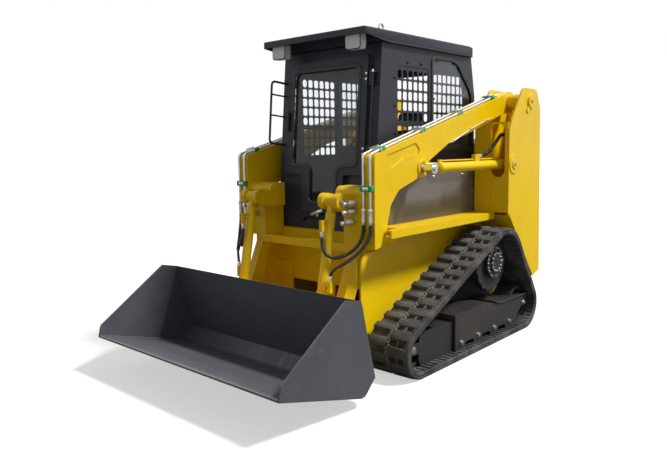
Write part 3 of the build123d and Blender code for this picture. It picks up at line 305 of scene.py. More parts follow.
def moulded_rubber(name, colour, dust, roughness=0.78):
    """Moulded rubber with a dry bloom."""
    finish = Finish(name, colour, roughness)
    cloud = finish.noise(7, detail=7, roughness=0.65)
    grain = finish.noise(160, detail=4)
    shade = finish.colour_mix(finish.span(cloud, 0.38, 0.7, 0, dust), colour, RUBBER_BLOOM)
    shade = finish.colour_mix(finish.span(grain, 0.5, 0.8, 0, 0.25), shade, darker(colour, 0.4))
    finish.colour(shade)
    finish.roughness(finish.span(grain, 0.2, 0.8, roughness - 0.1, roughness + 0.08))
    finish.bump(grain, 0.0008, 0.5, 0.002)
    return finish.material


def metal(name, colour, roughness):
    """Bare or plated metal with a fine grain and small stains."""
    finish = Finish(name, colour, roughness, metallic=1.0)
    grain = finish.noise(240, detail=4)
    stains = finish.span(finish.noise(30, detail=5, roughness=0.6), 0.5, 0.8, 0, 0.5)
    finish.colour(finish.colour_mix(stains, colour, darker(colour, 0.6)))
    finish.roughness(finish.span(grain, 0.2, 0.8, max(0.05, roughness - 0.08), roughness + 0.12))
    finish.bump(grain, 0.0002, 0.3, 0.001)
    return finish.material


def glazing(name, tint, roughness=0.02, clear=1.0):
    """Clear tinted glass with a faint film of dust."""
    finish = Finish(name, tint, roughness, sockets={"Transmission Weight": clear, "IOR": 1.3})
    film = finish.noise(5, detail=5)
    finish.roughness(finish.span(film, 0.4, 0.75, roughness, roughness + 0.07))
    return finish.material


def moulded(name, colour, roughness=0.45, grain=300.0):
    """Moulded plastic with a fine texture."""
    finish = Finish(name, colour, roughness)
    texture = finish.noise(grain, detail=2)
    cloud = finish.span(finish.noise(8, detail=4), 0.4, 0.7)
    finish.colour(finish.colour_mix(cloud, colour, darker(colour, 0.85)))
    finish.roughness(finish.span(texture, 0.3, 0.7, roughness - 0.06, roughness + 0.1))
    finish.bump(texture, 0.0003, 0.4)
    return finish.material


finishes = {}


def make_finishes(colours):
    wear = colours.wear
    paint, cab, gear, panel = (colours.paint[:], colours.cab[:], colours.running_gear[:],
                               colours.panel[:])
    finishes["yellow_paint"] = sprayed(
        "yellow_paint", paint, 0.34, wear * 0.3, YELLOW_DUST, coat=0.05, specular=0.3)
    finishes["dark_paint"] = sprayed(
        "cab_paint", cab, 0.42, wear * 0.35, darker(EARTH, 0.35), coat=0.04, specular=0.22)
    finishes["running_gear"] = sprayed(
        "running_gear_paint", gear, 0.55, wear * 0.8, darker(EARTH, 0.3), coat=0.05)
    finishes["grey_panel"] = sprayed(
        "panel_paint", panel, 0.48, wear * 0.6, darker(EARTH, 0.8), coat=0.1)
    finishes["bucket_paint"] = worn_bucket(colours.bucket[:])
    rubbers = {
        # The belt's track rubber is kept darker than the lugs' rubber as painted shade in the pockets
        # between the lugs.
        "track_rubber": (colours.rubber[:], wear * 1.4, 0.78),
        "lug_rubber": ((0.052, 0.051, 0.052), wear, 0.78),
        # The joints' lighter grey is rubbed wear together with painted highlights.
        "rubbed_highlit_rubber": ((0.13, 0.13, 0.135), 0.3, 0.5),
        "hose_rubber": ((0.012, 0.012, 0.013), 0.05, 0.42),
        "seal_rubber": ((0.014, 0.014, 0.016), 0.08, 0.6),
    }
    for name, look in rubbers.items():
        finishes[name] = moulded_rubber(name, *look)
    finishes["worn_steel"] = metal("worn_steel", (0.40, 0.39, 0.38), 0.42)
    finishes["chrome_rod"] = metal("chrome", (0.82, 0.82, 0.84), 0.12)
    finishes["zinc"] = metal("zinc_plate", (0.66, 0.67, 0.66), 0.32)
    finishes["glass"] = glazing("cab_glass", (0.86, 0.90, 0.92))
    finishes["lamp"] = glazing("lamp_glass", (0.90, 0.91, 0.94), roughness=0.14, clear=0.3)
    finishes["lamp_red"] = moulded("lamp_red", (0.35, 0.006, 0.004), 0.2, grain=60)
    finishes["guard_plastic"] = moulded("guard_plastic", (0.022, 0.022, 0.025), 0.22)
    finishes["seat_vinyl"] = moulded("seat_vinyl", (0.016, 0.016, 0.018), 0.5, grain=120)
    finishes["clamp_plastic"] = moulded("clamp_plastic", colours.clamp[:])


GEAR_NODES = ("track_frame_left", "track_frame_right", "track_wheels", "drive_sprockets")


class LOADER_OT_finishes(bpy.types.Operator):
    """Makes the finishes and paints every piece of the frame"""

    bl_idname = "loader.finishes"
    bl_label = "Finishes"

    def execute(self, context):
        make_finishes(context.scene.loader_finish)
        slots = {part["node"]: part["material_slot"] for part in frame["record"]["subparts"]}
        for name, node in frame["nodes"].items():
            node.data.materials.clear()
            node.data.materials.append(finishes["running_gear" if name in GEAR_NODES else slots[name]])
        return {"FINISHED"}


# ---- Meshes made by operators, in millimetres ----
MACHINE = Matrix()

# A plate's edges that turn by more than this, in radians, are bevelled, and a pad's edges that are
# longer than this are subdivided.
SHARP_TURN, PAD_EDGE = 1.0, 90


def aim(direction):
    """The turn that takes +Z to a direction."""
    return Vector(direction).to_track_quat("Z", "Y").to_matrix().to_4x4()


def side_view(across):
    """A place whose outlines are (x, z) points at an |y| on the left, with depth outward."""
    return Matrix(((1, 0, 0, 0), (0, 0, 1, across), (0, 1, 0, 0), (0, 0, 0, 1)))


def end_view(along, facing=1):
    """A place whose outlines are (y, z) points at an x, with depth forward, or rearward for -1."""
    return Matrix(((0, 0, facing, along), (1, 0, 0, 0), (0, 1, 0, 0), (0, 0, 0, 1)))


def turn_across(x, z):
    """A place whose Z points to the left about a pin's centre."""
    return Matrix.Translation((x, 0, z)) @ Matrix.Rotation(math.radians(-90), 4, "X")


def rectangle(low, high):
    """The outline between two opposite corners."""
    (left, bottom), (right, top) = low, high
    return [(left, bottom), (right, bottom), (right, top), (left, top)]


def rounded(part, edges, width, segments):
    bmesh.ops.bevel(part, geom=list(edges), offset=width, offset_type="OFFSET", segments=segments,
                    profile=0.5, affect="EDGES", material=-1, clamp_overlap=True)


def round_corners(part, face, radius, steps):
    bmesh.ops.bevel(part, geom=list(face.verts), offset=radius, offset_type="OFFSET", segments=steps,
                    profile=0.5, affect="VERTICES", material=-1, clamp_overlap=True)


def settled(item):
    """An object's mesh with its modifiers, or its curve's thickness, carried out."""
    return bpy.data.meshes.new_from_object(item.evaluated_get(bpy.context.evaluated_depsgraph_get()))


class Shape:
    """A mesh that grows by operators, in millimetres and in the machine's frame."""

    def __init__(self, bm=None):
        self.bm = bmesh.new() if bm is None else bm

    def add(self, part):
        """Joins a finished part and frees it."""
        bmesh.ops.recalc_face_normals(part, faces=part.faces)
        mesh = bpy.data.meshes.new("part")
        part.to_mesh(mesh)
        part.free()
        self.bm.from_mesh(mesh)
        bpy.data.meshes.remove(mesh)

    def box(self, low, high, bevel=0.0, place=MACHINE):
        """A block between two corners of the machine's frame or of a tilted place."""
        low, high = Vector(low), Vector(high)
        part = bmesh.new()
        middle = Matrix.Translation((low + high) / 2)
        bmesh.ops.create_cube(part, size=1, matrix=place @ middle @ Matrix.Diagonal((*(high - low), 1)))
        if bevel:
            rounded(part, part.edges, bevel, 2)
        self.add(part)

    def rod(self, start, end, radius, end_radius=None, sides=24, bevel=0.0):
        """A round or faceted bar from one point to another."""
        start, end = Vector(start), Vector(end)
        part = bmesh.new()
        place = Matrix.Translation((start + end) / 2) @ aim(end - start)
        bmesh.ops.create_cone(part, cap_ends=True, cap_tris=False, segments=sides, radius1=radius,
                              radius2=radius if end_radius is None else end_radius,
                              depth=(end - start).length, matrix=place)
        if bevel:
            caps = [face for face in part.faces if len(face.verts) == sides]
            rounded(part, {edge for face in caps for edge in face.edges}, bevel, 2)
        self.add(part)

    def turned(self, profile, place, steps=40):
        """A ring: a closed profile of (radius, height) points, spun about the place's Z."""
        part = bmesh.new()
        points = [part.verts.new((radius, 0, height)) for radius, height in profile]
        edges = [part.edges.new(pair) for pair in zip(points, points[1:] + points[:1])]
        bmesh.ops.spin(part, geom=points + edges, cent=(0, 0, 0), axis=(0, 0, 1), angle=math.tau,
                       steps=steps, use_merge=True)
        bmesh.ops.remove_doubles(part, verts=part.verts, dist=0.01)
        bmesh.ops.transform(part, matrix=place, verts=part.verts)
        self.add(part)

    def plate(self, points, place, depth, corner=0.0, rim=0.0, bevel=0.0, holes=(), steps=5):
        """An outline with rounded corners, given a depth along the place's normal.

        With a rim, only a frame that wide is kept. Holes are closed outlines with a corner each.
        """
        part = bmesh.new()
        face = part.faces.new([part.verts.new((*point, 0)) for point in points])
        if corner:
            round_corners(part, face, corner, steps)
        if rim:
            whole = list(part.faces)
            bmesh.ops.inset_region(part, faces=whole, thickness=rim, use_boundary=True,
                                   use_even_offset=True)
            bmesh.ops.delete(part, geom=whole, context="FACES")
        if holes:
            for hole, hole_corner in holes:
                inner = part.faces.new([part.verts.new((*point, 0)) for point in hole])
                round_corners(part, inner, hole_corner, 3)
            bmesh.ops.delete(part, geom=list(part.faces), context="FACES_ONLY")
            bmesh.ops.triangle_fill(part, use_beauty=True, edges=list(part.edges))
        raised = bmesh.ops.extrude_face_region(part, geom=list(part.faces))["geom"]
        bmesh.ops.translate(part, vec=(0, 0, depth),
                            verts=[item for item in raised if isinstance(item, bmesh.types.BMVert)])
        if bevel:
            bmesh.ops.recalc_face_normals(part, faces=part.faces)
            sharp = [edge for edge in part.edges
                     if len(edge.link_faces) == 2 and edge.calc_face_angle() > SHARP_TURN]
            rounded(part, sharp, bevel, 3)
        bmesh.ops.transform(part, matrix=place, verts=part.verts)
        self.add(part)

    def bolt(self, place, direction, radius):
        """A hexagon head as wide as its radius gives across the corners, on a round washer."""
        foot, way = Vector(place), Vector(direction).normalized()
        head = foot + way * radius * 0.2
        self.rod(foot, head, radius * 1.3, sides=20)
        self.rod(head, head + way * radius * 0.7, radius, sides=6, bevel=radius * 0.08)

    def weld(self, start, end, width, pitch=10):
        """A run of weld beads."""
        start, end = Vector(start), Vector(end)
        count = max(2, round((end - start).length / pitch))
        bead = aim(end - start) @ Matrix.Diagonal((width, width, pitch * 0.75, 1))
        for index in range(count):
            part = bmesh.new()
            place = Matrix.Translation(start.lerp(end, (index + 0.5) / count))
            bmesh.ops.create_icosphere(part, subdivisions=1, radius=1, matrix=place @ bead)
            self.add(part)

    def pad(self, low, high, round_width, crown, turn):
        """A stuffed block: crowned faces and sides that pull in between the corners."""
        low, high = Vector(low), Vector(high)
        size = high - low
        part = bmesh.new()
        bmesh.ops.create_cube(part, size=1, matrix=Matrix.Diagonal((*size, 1)))
        rounded(part, part.edges, round_width, 3)
        long_edges = [edge for edge in part.edges if edge.calc_length() > PAD_EDGE]
        bmesh.ops.subdivide_edges(part, edges=long_edges, cuts=5, use_grid_fill=True)
        for vertex in part.verts:
            share = [min(1.0, abs(vertex.co[axis]) / (size[axis] / 2)) for axis in range(3)]
            for axis in range(3):
                first, second = (share[other] for other in range(3) if other != axis)
                lift = crown * (1 - first ** 2) * (1 - second ** 2) * share[axis] ** 3
                vertex.co[axis] += math.copysign(lift, vertex.co[axis])
        place = Matrix.Translation((low + high) / 2) @ turn
        bmesh.ops.transform(part, matrix=place, verts=part.verts)
        self.add(part)


def piece(name, shape, body, finish, both=False, smooth=35.0):
    """Turns a shape into a named piece that rides on a body, on both sides where asked."""
    bm = shape.bm
    if both:
        copy = bmesh.ops.duplicate(bm, geom=[*bm.verts, *bm.edges, *bm.faces])["geom"]
        bmesh.ops.scale(bm, vec=(1, -1, 1),
                        verts=[item for item in copy if isinstance(item, bmesh.types.BMVert)])
        bmesh.ops.recalc_face_normals(bm, faces=bm.faces)
    bmesh.ops.scale(bm, vec=(MM, MM, MM), verts=bm.verts)
    mesh = bpy.data.meshes.new(name)
    bm.to_mesh(mesh)
    bm.free()
    mesh.materials.append(finishes[finish])
    mesh.polygons.foreach_set("use_smooth", [True] * len(mesh.polygons))
    mesh.set_sharp_from_angle(angle=math.radians(smooth))
    made = bpy.data.objects.new(name, mesh)
    bpy.context.collection.objects.link(made)
    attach(made, body)
    return made


def round_wire(name, route, radius, finish, kinked=False, resolution=4):
    """A round wire, bar or hose through a route of millimetres, smooth unless it is kinked."""
    curve = bpy.data.curves.new(name, "CURVE")
    curve.dimensions = "3D"
    curve.bevel_depth = radius * MM
    curve.bevel_resolution = resolution
    curve.use_fill_caps = True
    spline = curve.splines.new("POLY" if kinked else "NURBS")
    spline.points.add(len(route) - 1)
    for point, place in zip(spline.points, route):
        point.co = (*(Vector(place) * MM), 1)
    if not kinked:
        spline.order_u = 3
        spline.use_endpoint_u = True
    wire = bpy.data.objects.new(name, curve)
    bpy.context.collection.objects.link(wire)
    wire.data.materials.append(finishes[finish])
    return wire


def bent_bar(name, route, radius, body, finish):
    """A bar along a smooth route of millimetres that rides on a body."""
    bar = round_wire(name, route, radius, finish)
    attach(bar, body)


# ---- Tracks: the left one's |y| and depth, and each wheel's x, z and radius out to the tread ----
TRACK_IN, TRACK_WIDTH, TRACK_DEPTH = 525.0, 320.0, 44.0
TRACK_OUT = TRACK_IN + TRACK_WIDTH
TRACK_MIDDLE = TRACK_IN + TRACK_WIDTH * 0.49
FRONT_IDLER = (319.0, 168.0, 168.0)
DRIVE_SPROCKET = (-778.0, 565.0, 262.0)
REAR_IDLER = (-1121.0, 185.0, 185.0)
TRACK_WHEELS = (FRONT_IDLER, DRIVE_SPROCKET, REAR_IDLER)
ARC_STEP = math.radians(6)
# The belt's darker rubber is painted shade in the pockets between the lugs.
TRACK_FINISHES = {"belt": "track_rubber", "lugs": "lug_rubber", "joints": "rubbed_highlit_rubber"}

# The raised band along the belt's outer edge: its width and how deep its face lies.
EDGE_BAND, EDGE_SINK = 40.0, 2.0

# How far lugs and the edge band reach below the tread's root, so that they join the belt.
ROOT_OVERLAP = 4.0

# The bars of one pitch: their piece, share of the pitch, |y|, sink, turn in degrees and overlap with
# the belt, then the bar itself.
INNER_LUG = {"length": 68, "width": 152, "taper": 0.84, "spread": 0.82}
OUTER_LUG = {"length": 66, "width": 142, "taper": 0.86, "skew": 3, "spread": 1.15}
LUG_BRIDGE = {"length": 60, "width": 15, "taper": 0.95, "bevel": 2}
KNUCKLE = {"length": 48, "width": 15, "taper": 0.86, "bevel": 3}
STUD = {"length": 22, "width": 20, "taper": 0.7, "bevel": 3}
TREAD_BARS = (
    ("lugs", 0.0, TRACK_IN + 76, 0.0, 0, ROOT_OVERLAP, INNER_LUG),
    ("lugs", 0.5, TRACK_OUT - 92, 0.0, 0, ROOT_OVERLAP, OUTER_LUG),
    ("lugs", 0.0, TRACK_OUT - 90, 6.0, 0, 0.0, LUG_BRIDGE),
    # The joints' knuckles and studs take a lighter rubber: rubbed wear with painted highlights.
    ("joints", 0.25, TRACK_MIDDLE, 1.5, 38, 0.0, KNUCKLE),
    ("joints", 0.75, TRACK_MIDDLE, 1.5, -38, 0.0, KNUCKLE),
    ("joints", 0.0, TRACK_MIDDLE + 1, 0.0, 0, 0.0, STUD),
    ("joints", 0.5, TRACK_MIDDLE - 1, 0.0, 0, 0.0, STUD),
)

# The ribs on the belt's inner face: where they lie and their length, width, height and overlap.
RIB_ROWS = (TRACK_IN + 38, TRACK_OUT - 41)
RIB_LENGTH, RIB_WIDTH, RIB_HEIGHT, RIB_OVERLAP = 27, 70, 9, 3


def outward_at(angle):
    return Vector((math.cos(angle), 0, math.sin(angle)))


class Arc:
    """The part of the belt's run that lies round a wheel, between two angles."""

    def __init__(self, centre, radius, start, end):
        self.centre, self.radius, self.start, self.end = centre, radius, start, end
        self.length = radius * (end - start)

    def at(self, share):
        """The outward angle and the point at a share of the arc."""
        angle = self.start + (self.end - self.start) * share
        return angle, self.centre + outward_at(angle) * self.radius

    def sweep(self, part, edges):
        """Spins edges round the wheel and gives the ones where they end."""
        turn = self.end - self.start
        made = bmesh.ops.spin(part, geom=edges, cent=self.centre, axis=(0, -1, 0), angle=turn,
                              steps=max(6, round(turn / ARC_STEP)), use_merge=False)
        return [item for item in made["geom_last"] if isinstance(item, bmesh.types.BMEdge)]


class Straight:
    """The part of the belt's run between two wheels."""

    def __init__(self, start, end, angle):
        self.start, self.end, self.angle = start, end, angle
        self.length = (end - start).length

    def at(self, share):
        """The outward angle and the point at a share of the straight."""
        return self.angle, self.start.lerp(self.end, share)

    def sweep(self, part, edges):
        """Extrudes edges along the straight and gives the ones where they end."""
        made = bmesh.ops.extrude_edge_only(part, edges=edges)["geom"]
        ends = [item for item in made if isinstance(item, bmesh.types.BMEdge)
                and all(vertex in made for vertex in item.verts)]
        moved = {vertex for edge in ends for vertex in edge.verts}
        bmesh.ops.translate(part, vec=self.end - self.start, verts=list(moved))
        return ends


class BeltRun:
    """The closed run of a track's outer face: arcs round three wheels and the straights between."""

    def __init__(self):
        wheels = [(Vector((x, 0, z)), radius) for x, z, radius in TRACK_WHEELS]
        leaves = []
        for (centre, radius), (ahead, next_radius) in zip(wheels, wheels[1:] + wheels[:1]):
            way = ahead - centre
            leaves.append(math.atan2(way.z, way.x) - math.acos((radius - next_radius) / way.length))
        self.legs = []
        for index, (centre, radius) in enumerate(wheels):
            start, end = leaves[index - 1], leaves[index]
            while end < start:
                end += math.tau
            ahead, next_radius = wheels[(index + 1) % len(wheels)]
            outward = outward_at(end)
            self.legs += [Arc(centre, radius, start, end),
                          Straight(centre + outward * radius, ahead + outward * next_radius, end)]
        self.length = sum(leg.length for leg in self.legs)

    def frame(self, reach):
        """The turn and the origin at a reach: X along the run, Y to the right and Z outward."""
        reach %= self.length
        for leg in self.legs:
            if reach <= leg.length:
                break
            reach -= leg.length
        angle, origin = leg.at(reach / leg.length)
        outward = outward_at(angle)
        along = Vector((-outward.z, 0, outward.x))
        return Matrix((along, outward.cross(along), outward)).transposed().to_4x4(), origin

    def place(self, reach, across, sink):
        """A place at an |y|, sunk below the tread's face."""
        turn, origin = self.frame(reach)
        outward = turn.col[2].to_3d()
        return Matrix.Translation(origin + Vector((0, across, 0)) - outward * sink) @ turn


def belt_band(shape, run, y_from, y_to, sink_from, sink_to, corner):
    """A closed band of the belt between two |y| stations and two depths below the tread."""
    part = bmesh.new()
    outline = rectangle((-y_to, -sink_to), (-y_from, -sink_from))
    face = part.faces.new([part.verts.new((0, across, height)) for across, height in outline])
    round_corners(part, face, corner, 3)
    turn, origin = run.frame(0)
    bmesh.ops.transform(part, matrix=Matrix.Translation(origin) @ turn, verts=part.verts)
    bmesh.ops.delete(part, geom=list(part.faces), context="FACES_ONLY")
    front = list(part.edges)
    for leg in run.legs:
        front = leg.sweep(part, front)
    bmesh.ops.remove_doubles(part, verts=part.verts, dist=0.05)
    shape.add(part)


def tread_bar(shape, place, length, width, height, taper, bevel=2.5, skew=0.0, spread=1.0):
    """A bar below a place: its root is the wider one, its top may lean and its inner end spread."""
    part = bmesh.new()
    bmesh.ops.create_cube(part, size=1, matrix=Matrix.Diagonal((length, width, height, 1)))
    top = [vertex for vertex in part.verts if vertex.co.z > 0]
    bmesh.ops.scale(part, vec=(taper, 0.96, 1), verts=top)
    bmesh.ops.translate(part, vec=(skew, 0, 0), verts=top)
    inner_end = [vertex for vertex in part.verts if vertex.co.y > 0]
    bmesh.ops.scale(part, vec=(spread, 1, 1), verts=inner_end)
    if bevel:
        rounded(part, part.edges, bevel, 1)
    sunk = place @ Matrix.Translation((0, 0, -height / 2))
    bmesh.ops.transform(part, matrix=sunk, verts=part.verts)
    for vertex in part.verts:
        vertex.co.z = max(vertex.co.z, 0.0)
    shape.add(part)


class LOADER_OT_tracks(bpy.types.Operator):
    """Builds the two rubber tracks with their staggered lugs"""

    bl_idname = "loader.tracks"
    bl_label = "Rubber tracks"

    def execute(self, context):
        sizes = context.scene.loader_tracks
        tread = sizes.tread_height / MM
        run = BeltRun()
        shapes = {kind: Shape() for kind in TRACK_FINISHES}
        belt_band(shapes["belt"], run, TRACK_IN, TRACK_OUT, tread, TRACK_DEPTH, corner=6)
        belt_band(shapes["belt"], run, TRACK_OUT - EDGE_BAND, TRACK_OUT, EDGE_SINK, tread + ROOT_OVERLAP,
                  corner=9)
        pitch = run.length / sizes.lug_count
        for index in range(sizes.lug_count):
            for kind, share, across, sink, turn, overlap, bar in TREAD_BARS:
                place = run.place((index + share) * pitch, across, sink)
                turned = place @ Matrix.Rotation(math.radians(turn), 4, "Z")
                tread_bar(shapes[kind], turned, height=tread + overlap, **bar)
        for index in range(sizes.rib_count):
            for across in RIB_ROWS:
                place = run.place(run.length * index / sizes.rib_count, across, TRACK_DEPTH - RIB_OVERLAP)
                tread_bar(shapes["belt"], place, RIB_LENGTH, RIB_WIDTH, RIB_HEIGHT, taper=1.0, bevel=0.0)
        for side, sign in SIDES:
            for kind, finish in TRACK_FINISHES.items():
                copy = Shape(shapes[kind].bm.copy())
                if sign < 0:
                    bmesh.ops.scale(copy.bm, vec=(1, -1, 1), verts=copy.bm.verts)
                    bmesh.ops.recalc_face_normals(copy.bm, faces=copy.bm.faces)
                made = piece(f"track_{kind}_{side}", copy, "chassis", finish, smooth=40)
                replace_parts(made, f"track_{side}")
        return {"FINISHED"}


# ---- Running gear ----
# The |y| of the track frame's box and of its narrower nose.
BOX_FACE, NOSE_FACE = 790.0, 772.0
ROLLER_BOLTS, ROLLER_AXLE = (-225, -459, -693, -927), 92
REAR_BOLT = (-1165, 192)

# The drive hub's rings of bolts: the ring's radius, its |y| and how many bolts it has.
HUB_RINGS = ((106, 747, 22), (66, 761, 12))
HUB_BOLT = 8.5
HULL_FACE = 478
BOX_RIM = [(-139, 48), (-139, 298), (-153, 298), (-153, 48)]
BOX_SCOOP = [(-690, 281), (-775, 259), (-1225, 253), (-1262, 276), (-1256, 283), (-1224, 263),
             (-776, 269), (-692, 291)]
SHIELD = [(120, 318), (-300, 455), (-640, 655), (-760, 730), (-900, 655), (-1080, 420), (-1180, 250),
          (-1180, 130), (200, 130)]


class LOADER_OT_running_gear(bpy.types.Operator):
    """Adds the bolts and rims of the track frames, the hubs' bolt rings and the shields behind"""

    bl_idname = "loader.running_gear"
    bl_label = "Running gear fittings"

    def execute(self, context):
        shields, bolts, rims, hubs = Shape(), Shape(), Shape(), Shape()
        shields.plate(SHIELD, side_view(HULL_FACE), 8, bevel=2)

        def frame_bolt(x, z, inner, outer, radius, **form):
            bolts.rod((x, inner, z), (x, outer, z), radius, **form)

        for x in ROLLER_BOLTS:
            frame_bolt(x, ROLLER_AXLE, BOX_FACE - 1, BOX_FACE + 4, 20)
            frame_bolt(x, ROLLER_AXLE, BOX_FACE + 4, BOX_FACE + 15, 14, sides=20, bevel=1.5)
            frame_bolt(x, ROLLER_AXLE, BOX_FACE + 12, BOX_FACE + 15.4, 7, sides=6)
        frame_bolt(*REAR_BOLT, BOX_FACE - 1, BOX_FACE + 5, 20, bevel=2)
        frame_bolt(*REAR_BOLT, BOX_FACE + 4, BOX_FACE + 16, 13, sides=6, bevel=1)
        frame_bolt(*FRONT_IDLER[:2], NOSE_FACE - 1, NOSE_FACE + 6, 24, bevel=2)

        # The main box's rim where it overlaps the nose, and the dished plate on its rear half.
        rims.plate(BOX_RIM, side_view(592), 204, bevel=4)
        rims.plate(BOX_SCOOP, side_view(596), 206, bevel=2.5)

        hub_x, hub_z = DRIVE_SPROCKET[:2]
        for radius, face, count in HUB_RINGS:
            for index in range(count):
                spot = outward_at(math.tau * index / count) * radius
                hubs.bolt((hub_x + spot.x, face, hub_z + spot.z), (0, 1, 0), HUB_BOLT)
        piece("track_shields", shields, "chassis", "running_gear", both=True)
        piece("track_frame_bolts", bolts, "chassis", "worn_steel", both=True)
        piece("track_frame_rims", rims, "chassis", "running_gear", both=True)
        piece("drive_hub_bolts", hubs, "chassis", "worn_steel", both=True)
        return {"FINISHED"}


# ---- Cab ----
CAB_HALF, CAB_EAVE, CAB_FLOOR = 440.0, 2093.0, 890.0
FRONT_SLOPE, EAVE_FRONT = 0.09, 187.0
DOOR_WIDE, DOOR_NARROW = 362.0, 190.0
DOOR_LOW, DOOR_STEP, DOOR_TOP = 990.0, 1245.0, 2016.0
DOOR_RIM = 62.0
FRONT_GRILLE = ((-345.0, 1315.0), (26.0, 1961.0))
REAR_WINDOW = [(-389, 1400), (-389, 2047), (-712, 2047), (-940, 1818), (-940, 1400)]

# How each corner of the rear window moves as its outline grows by 1.
REAR_WINDOW_GROWTH = ((1, -1), (1, 1), (-0.4, 1), (-1, 0.4), (-1, -1))

# The grilles' slots: across and up. A crossbar parts the rows below CROSSBAR_ROW from those above.
MESH_PITCH_X, MESH_PITCH_Z = 61.8, 70.0
MESH_SLOT_X, MESH_SLOT_Z = 47.0, 56.0
MESH_COLUMNS, MESH_ROWS, REAR_MESH_COLUMNS = 6, 8, 8
CROSSBAR_ROW, CROSSBAR = 5, 18.0
SLOT_CORNER, BOLTED_SLOT_CORNER = 11, 21


def on_cab_front(depth):
    """A place on the sloping cab front: X to the machine's left, Y up the slope, Z forward."""
    up = Vector((-FRONT_SLOPE, 0, 1)).normalized()
    across = Vector((0, 1, 0))
    forward = across.cross(up)
    foot = Vector((EAVE_FRONT + FRONT_SLOPE * (CAB_EAVE - CAB_FLOOR), 0, CAB_FLOOR))
    turn = Matrix((across, up, forward)).transposed().to_4x4()
    return Matrix.Translation(foot + forward * depth) @ turn


def up_front(z):
    """How far up the sloping front a height lies."""
    return (z - CAB_FLOOR) * math.hypot(1, FRONT_SLOPE)


def door_outline(rim):
    """The stepped outline of the door's glass, a rim in from the door's edge."""
    wide, narrow = DOOR_WIDE - rim, DOOR_NARROW - rim
    low, step, top = up_front(DOOR_LOW + rim), up_front(DOOR_STEP + rim), up_front(DOOR_TOP - rim)
    return [(-narrow, low), (narrow, low), (narrow, step), (wide, step), (wide, top), (-wide, top),
            (-wide, step), (-narrow, step)]


def slot_outline(x, z):
    half_x, half_z = MESH_SLOT_X / 2, MESH_SLOT_Z / 2
    return rectangle((x - half_x, z - half_z), (x + half_x, z + half_z))


class LOADER_OT_grilles(bpy.types.Operator):
    """Presses the window grilles with their rounded slots"""

    bl_idname = "loader.grilles"
    bl_label = "Window grilles"

    def execute(self, context):
        grille = Shape()
        (x_rear, z_low), (x_front, z_high) = FRONT_GRILLE
        rows = [z_high - 54 - MESH_PITCH_Z * row - (CROSSBAR if row >= CROSSBAR_ROW else 0)
                for row in range(MESH_ROWS)]
        bolted_rows = (rows[0], rows[CROSSBAR_ROW - 1])
        slots = []
        for column in range(MESH_COLUMNS):
            x = (x_rear + x_front) / 2 + (column - (MESH_COLUMNS - 1) / 2) * MESH_PITCH_X
            for z in rows:
                bolted = column in (0, MESH_COLUMNS - 1) and z in bolted_rows
                slots.append((slot_outline(x, z), BOLTED_SLOT_CORNER if bolted else SLOT_CORNER))
        edge = rectangle((x_rear + 0.3, z_low + 0.3), (x_front - 0.3, z_high - 0.3))
        grille.plate(edge, side_view(CAB_HALF - 7), 4, corner=25, holes=slots)

        # The rear window's plate has slots up to its sloping corner.
        (x_a, z_a), (x_b, z_b), (x_c, z_c), (x_d, z_d), (x_e, z_e) = REAR_WINDOW
        slots = []
        for column in range(REAR_MESH_COLUMNS):
            x = x_a - 56 - column * MESH_PITCH_X
            slot_rear = x - MESH_SLOT_X / 2
            top = z_c if slot_rear > x_c else z_c + (z_d - z_c) * (slot_rear - x_c) / (x_d - x_c)
            slots += [(slot_outline(x, z), SLOT_CORNER) for z in rows
                      if z > z_a and z + MESH_SLOT_Z / 2 < top]
        edge = [(x_a + 15, z_a - 15), (x_b + 15, z_b + 15), (x_c - 6, z_c + 15), (x_d - 15, z_d + 6),
                (x_e - 15, z_e - 15)]
        grille.plate(edge, side_view(CAB_HALF - 16), 3, corner=8, holes=slots)
        made = piece("window_grille_plates", grille, "chassis", "dark_paint", both=True, smooth=30)
        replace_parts(made, "window_grilles")
        return {"FINISHED"}


class LOADER_OT_cab_seals(bpy.types.Operator):
    """Lays the rubber seals of the door's glass, the door's opening and the rear side windows"""

    bl_idname = "loader.cab_seals"
    bl_label = "Window and door seals"

    def execute(self, context):
        glass, opening, windows = Shape(), Shape(), Shape()
        glass.plate(door_outline(DOOR_RIM - 14), on_cab_front(33), 7, corner=50, rim=26, bevel=3, steps=8)
        piece("door_glass_seal", glass, "cab_door", "seal_rubber")
        opening.plate(door_outline(-3), on_cab_front(-1), 5, corner=22, rim=14, bevel=2)
        piece("door_opening_seal", opening, "chassis", "seal_rubber")
        grown = [(x + grow_x * 13, z + grow_z * 13)
                 for (x, z), (grow_x, grow_z) in zip(REAR_WINDOW, REAR_WINDOW_GROWTH)]
        windows.plate(grown, side_view(CAB_HALF - 2), 9, corner=58, rim=26, bevel=3.5, steps=8)
        piece("side_window_seals", windows, "chassis", "seal_rubber", both=True)
        return {"FINISHED"}


# The knobs round the front grille and the rear window, as (x, z).
GRILLE_KNOBS = ((-92, 1990), (-255, 1990), (52, 1880), (52, 1520), (52, 1700), (-200, 1296))
WINDOW_KNOBS = ((-470, 2028), (-690, 2028), (-862, 1912), (-402, 1760))
FASCIA_SIDE = 461.5
ROOF_FASCIA = [(-880, 2110), (-880, 2158), (372, 2158), (372, 2128), (150, 2110)]


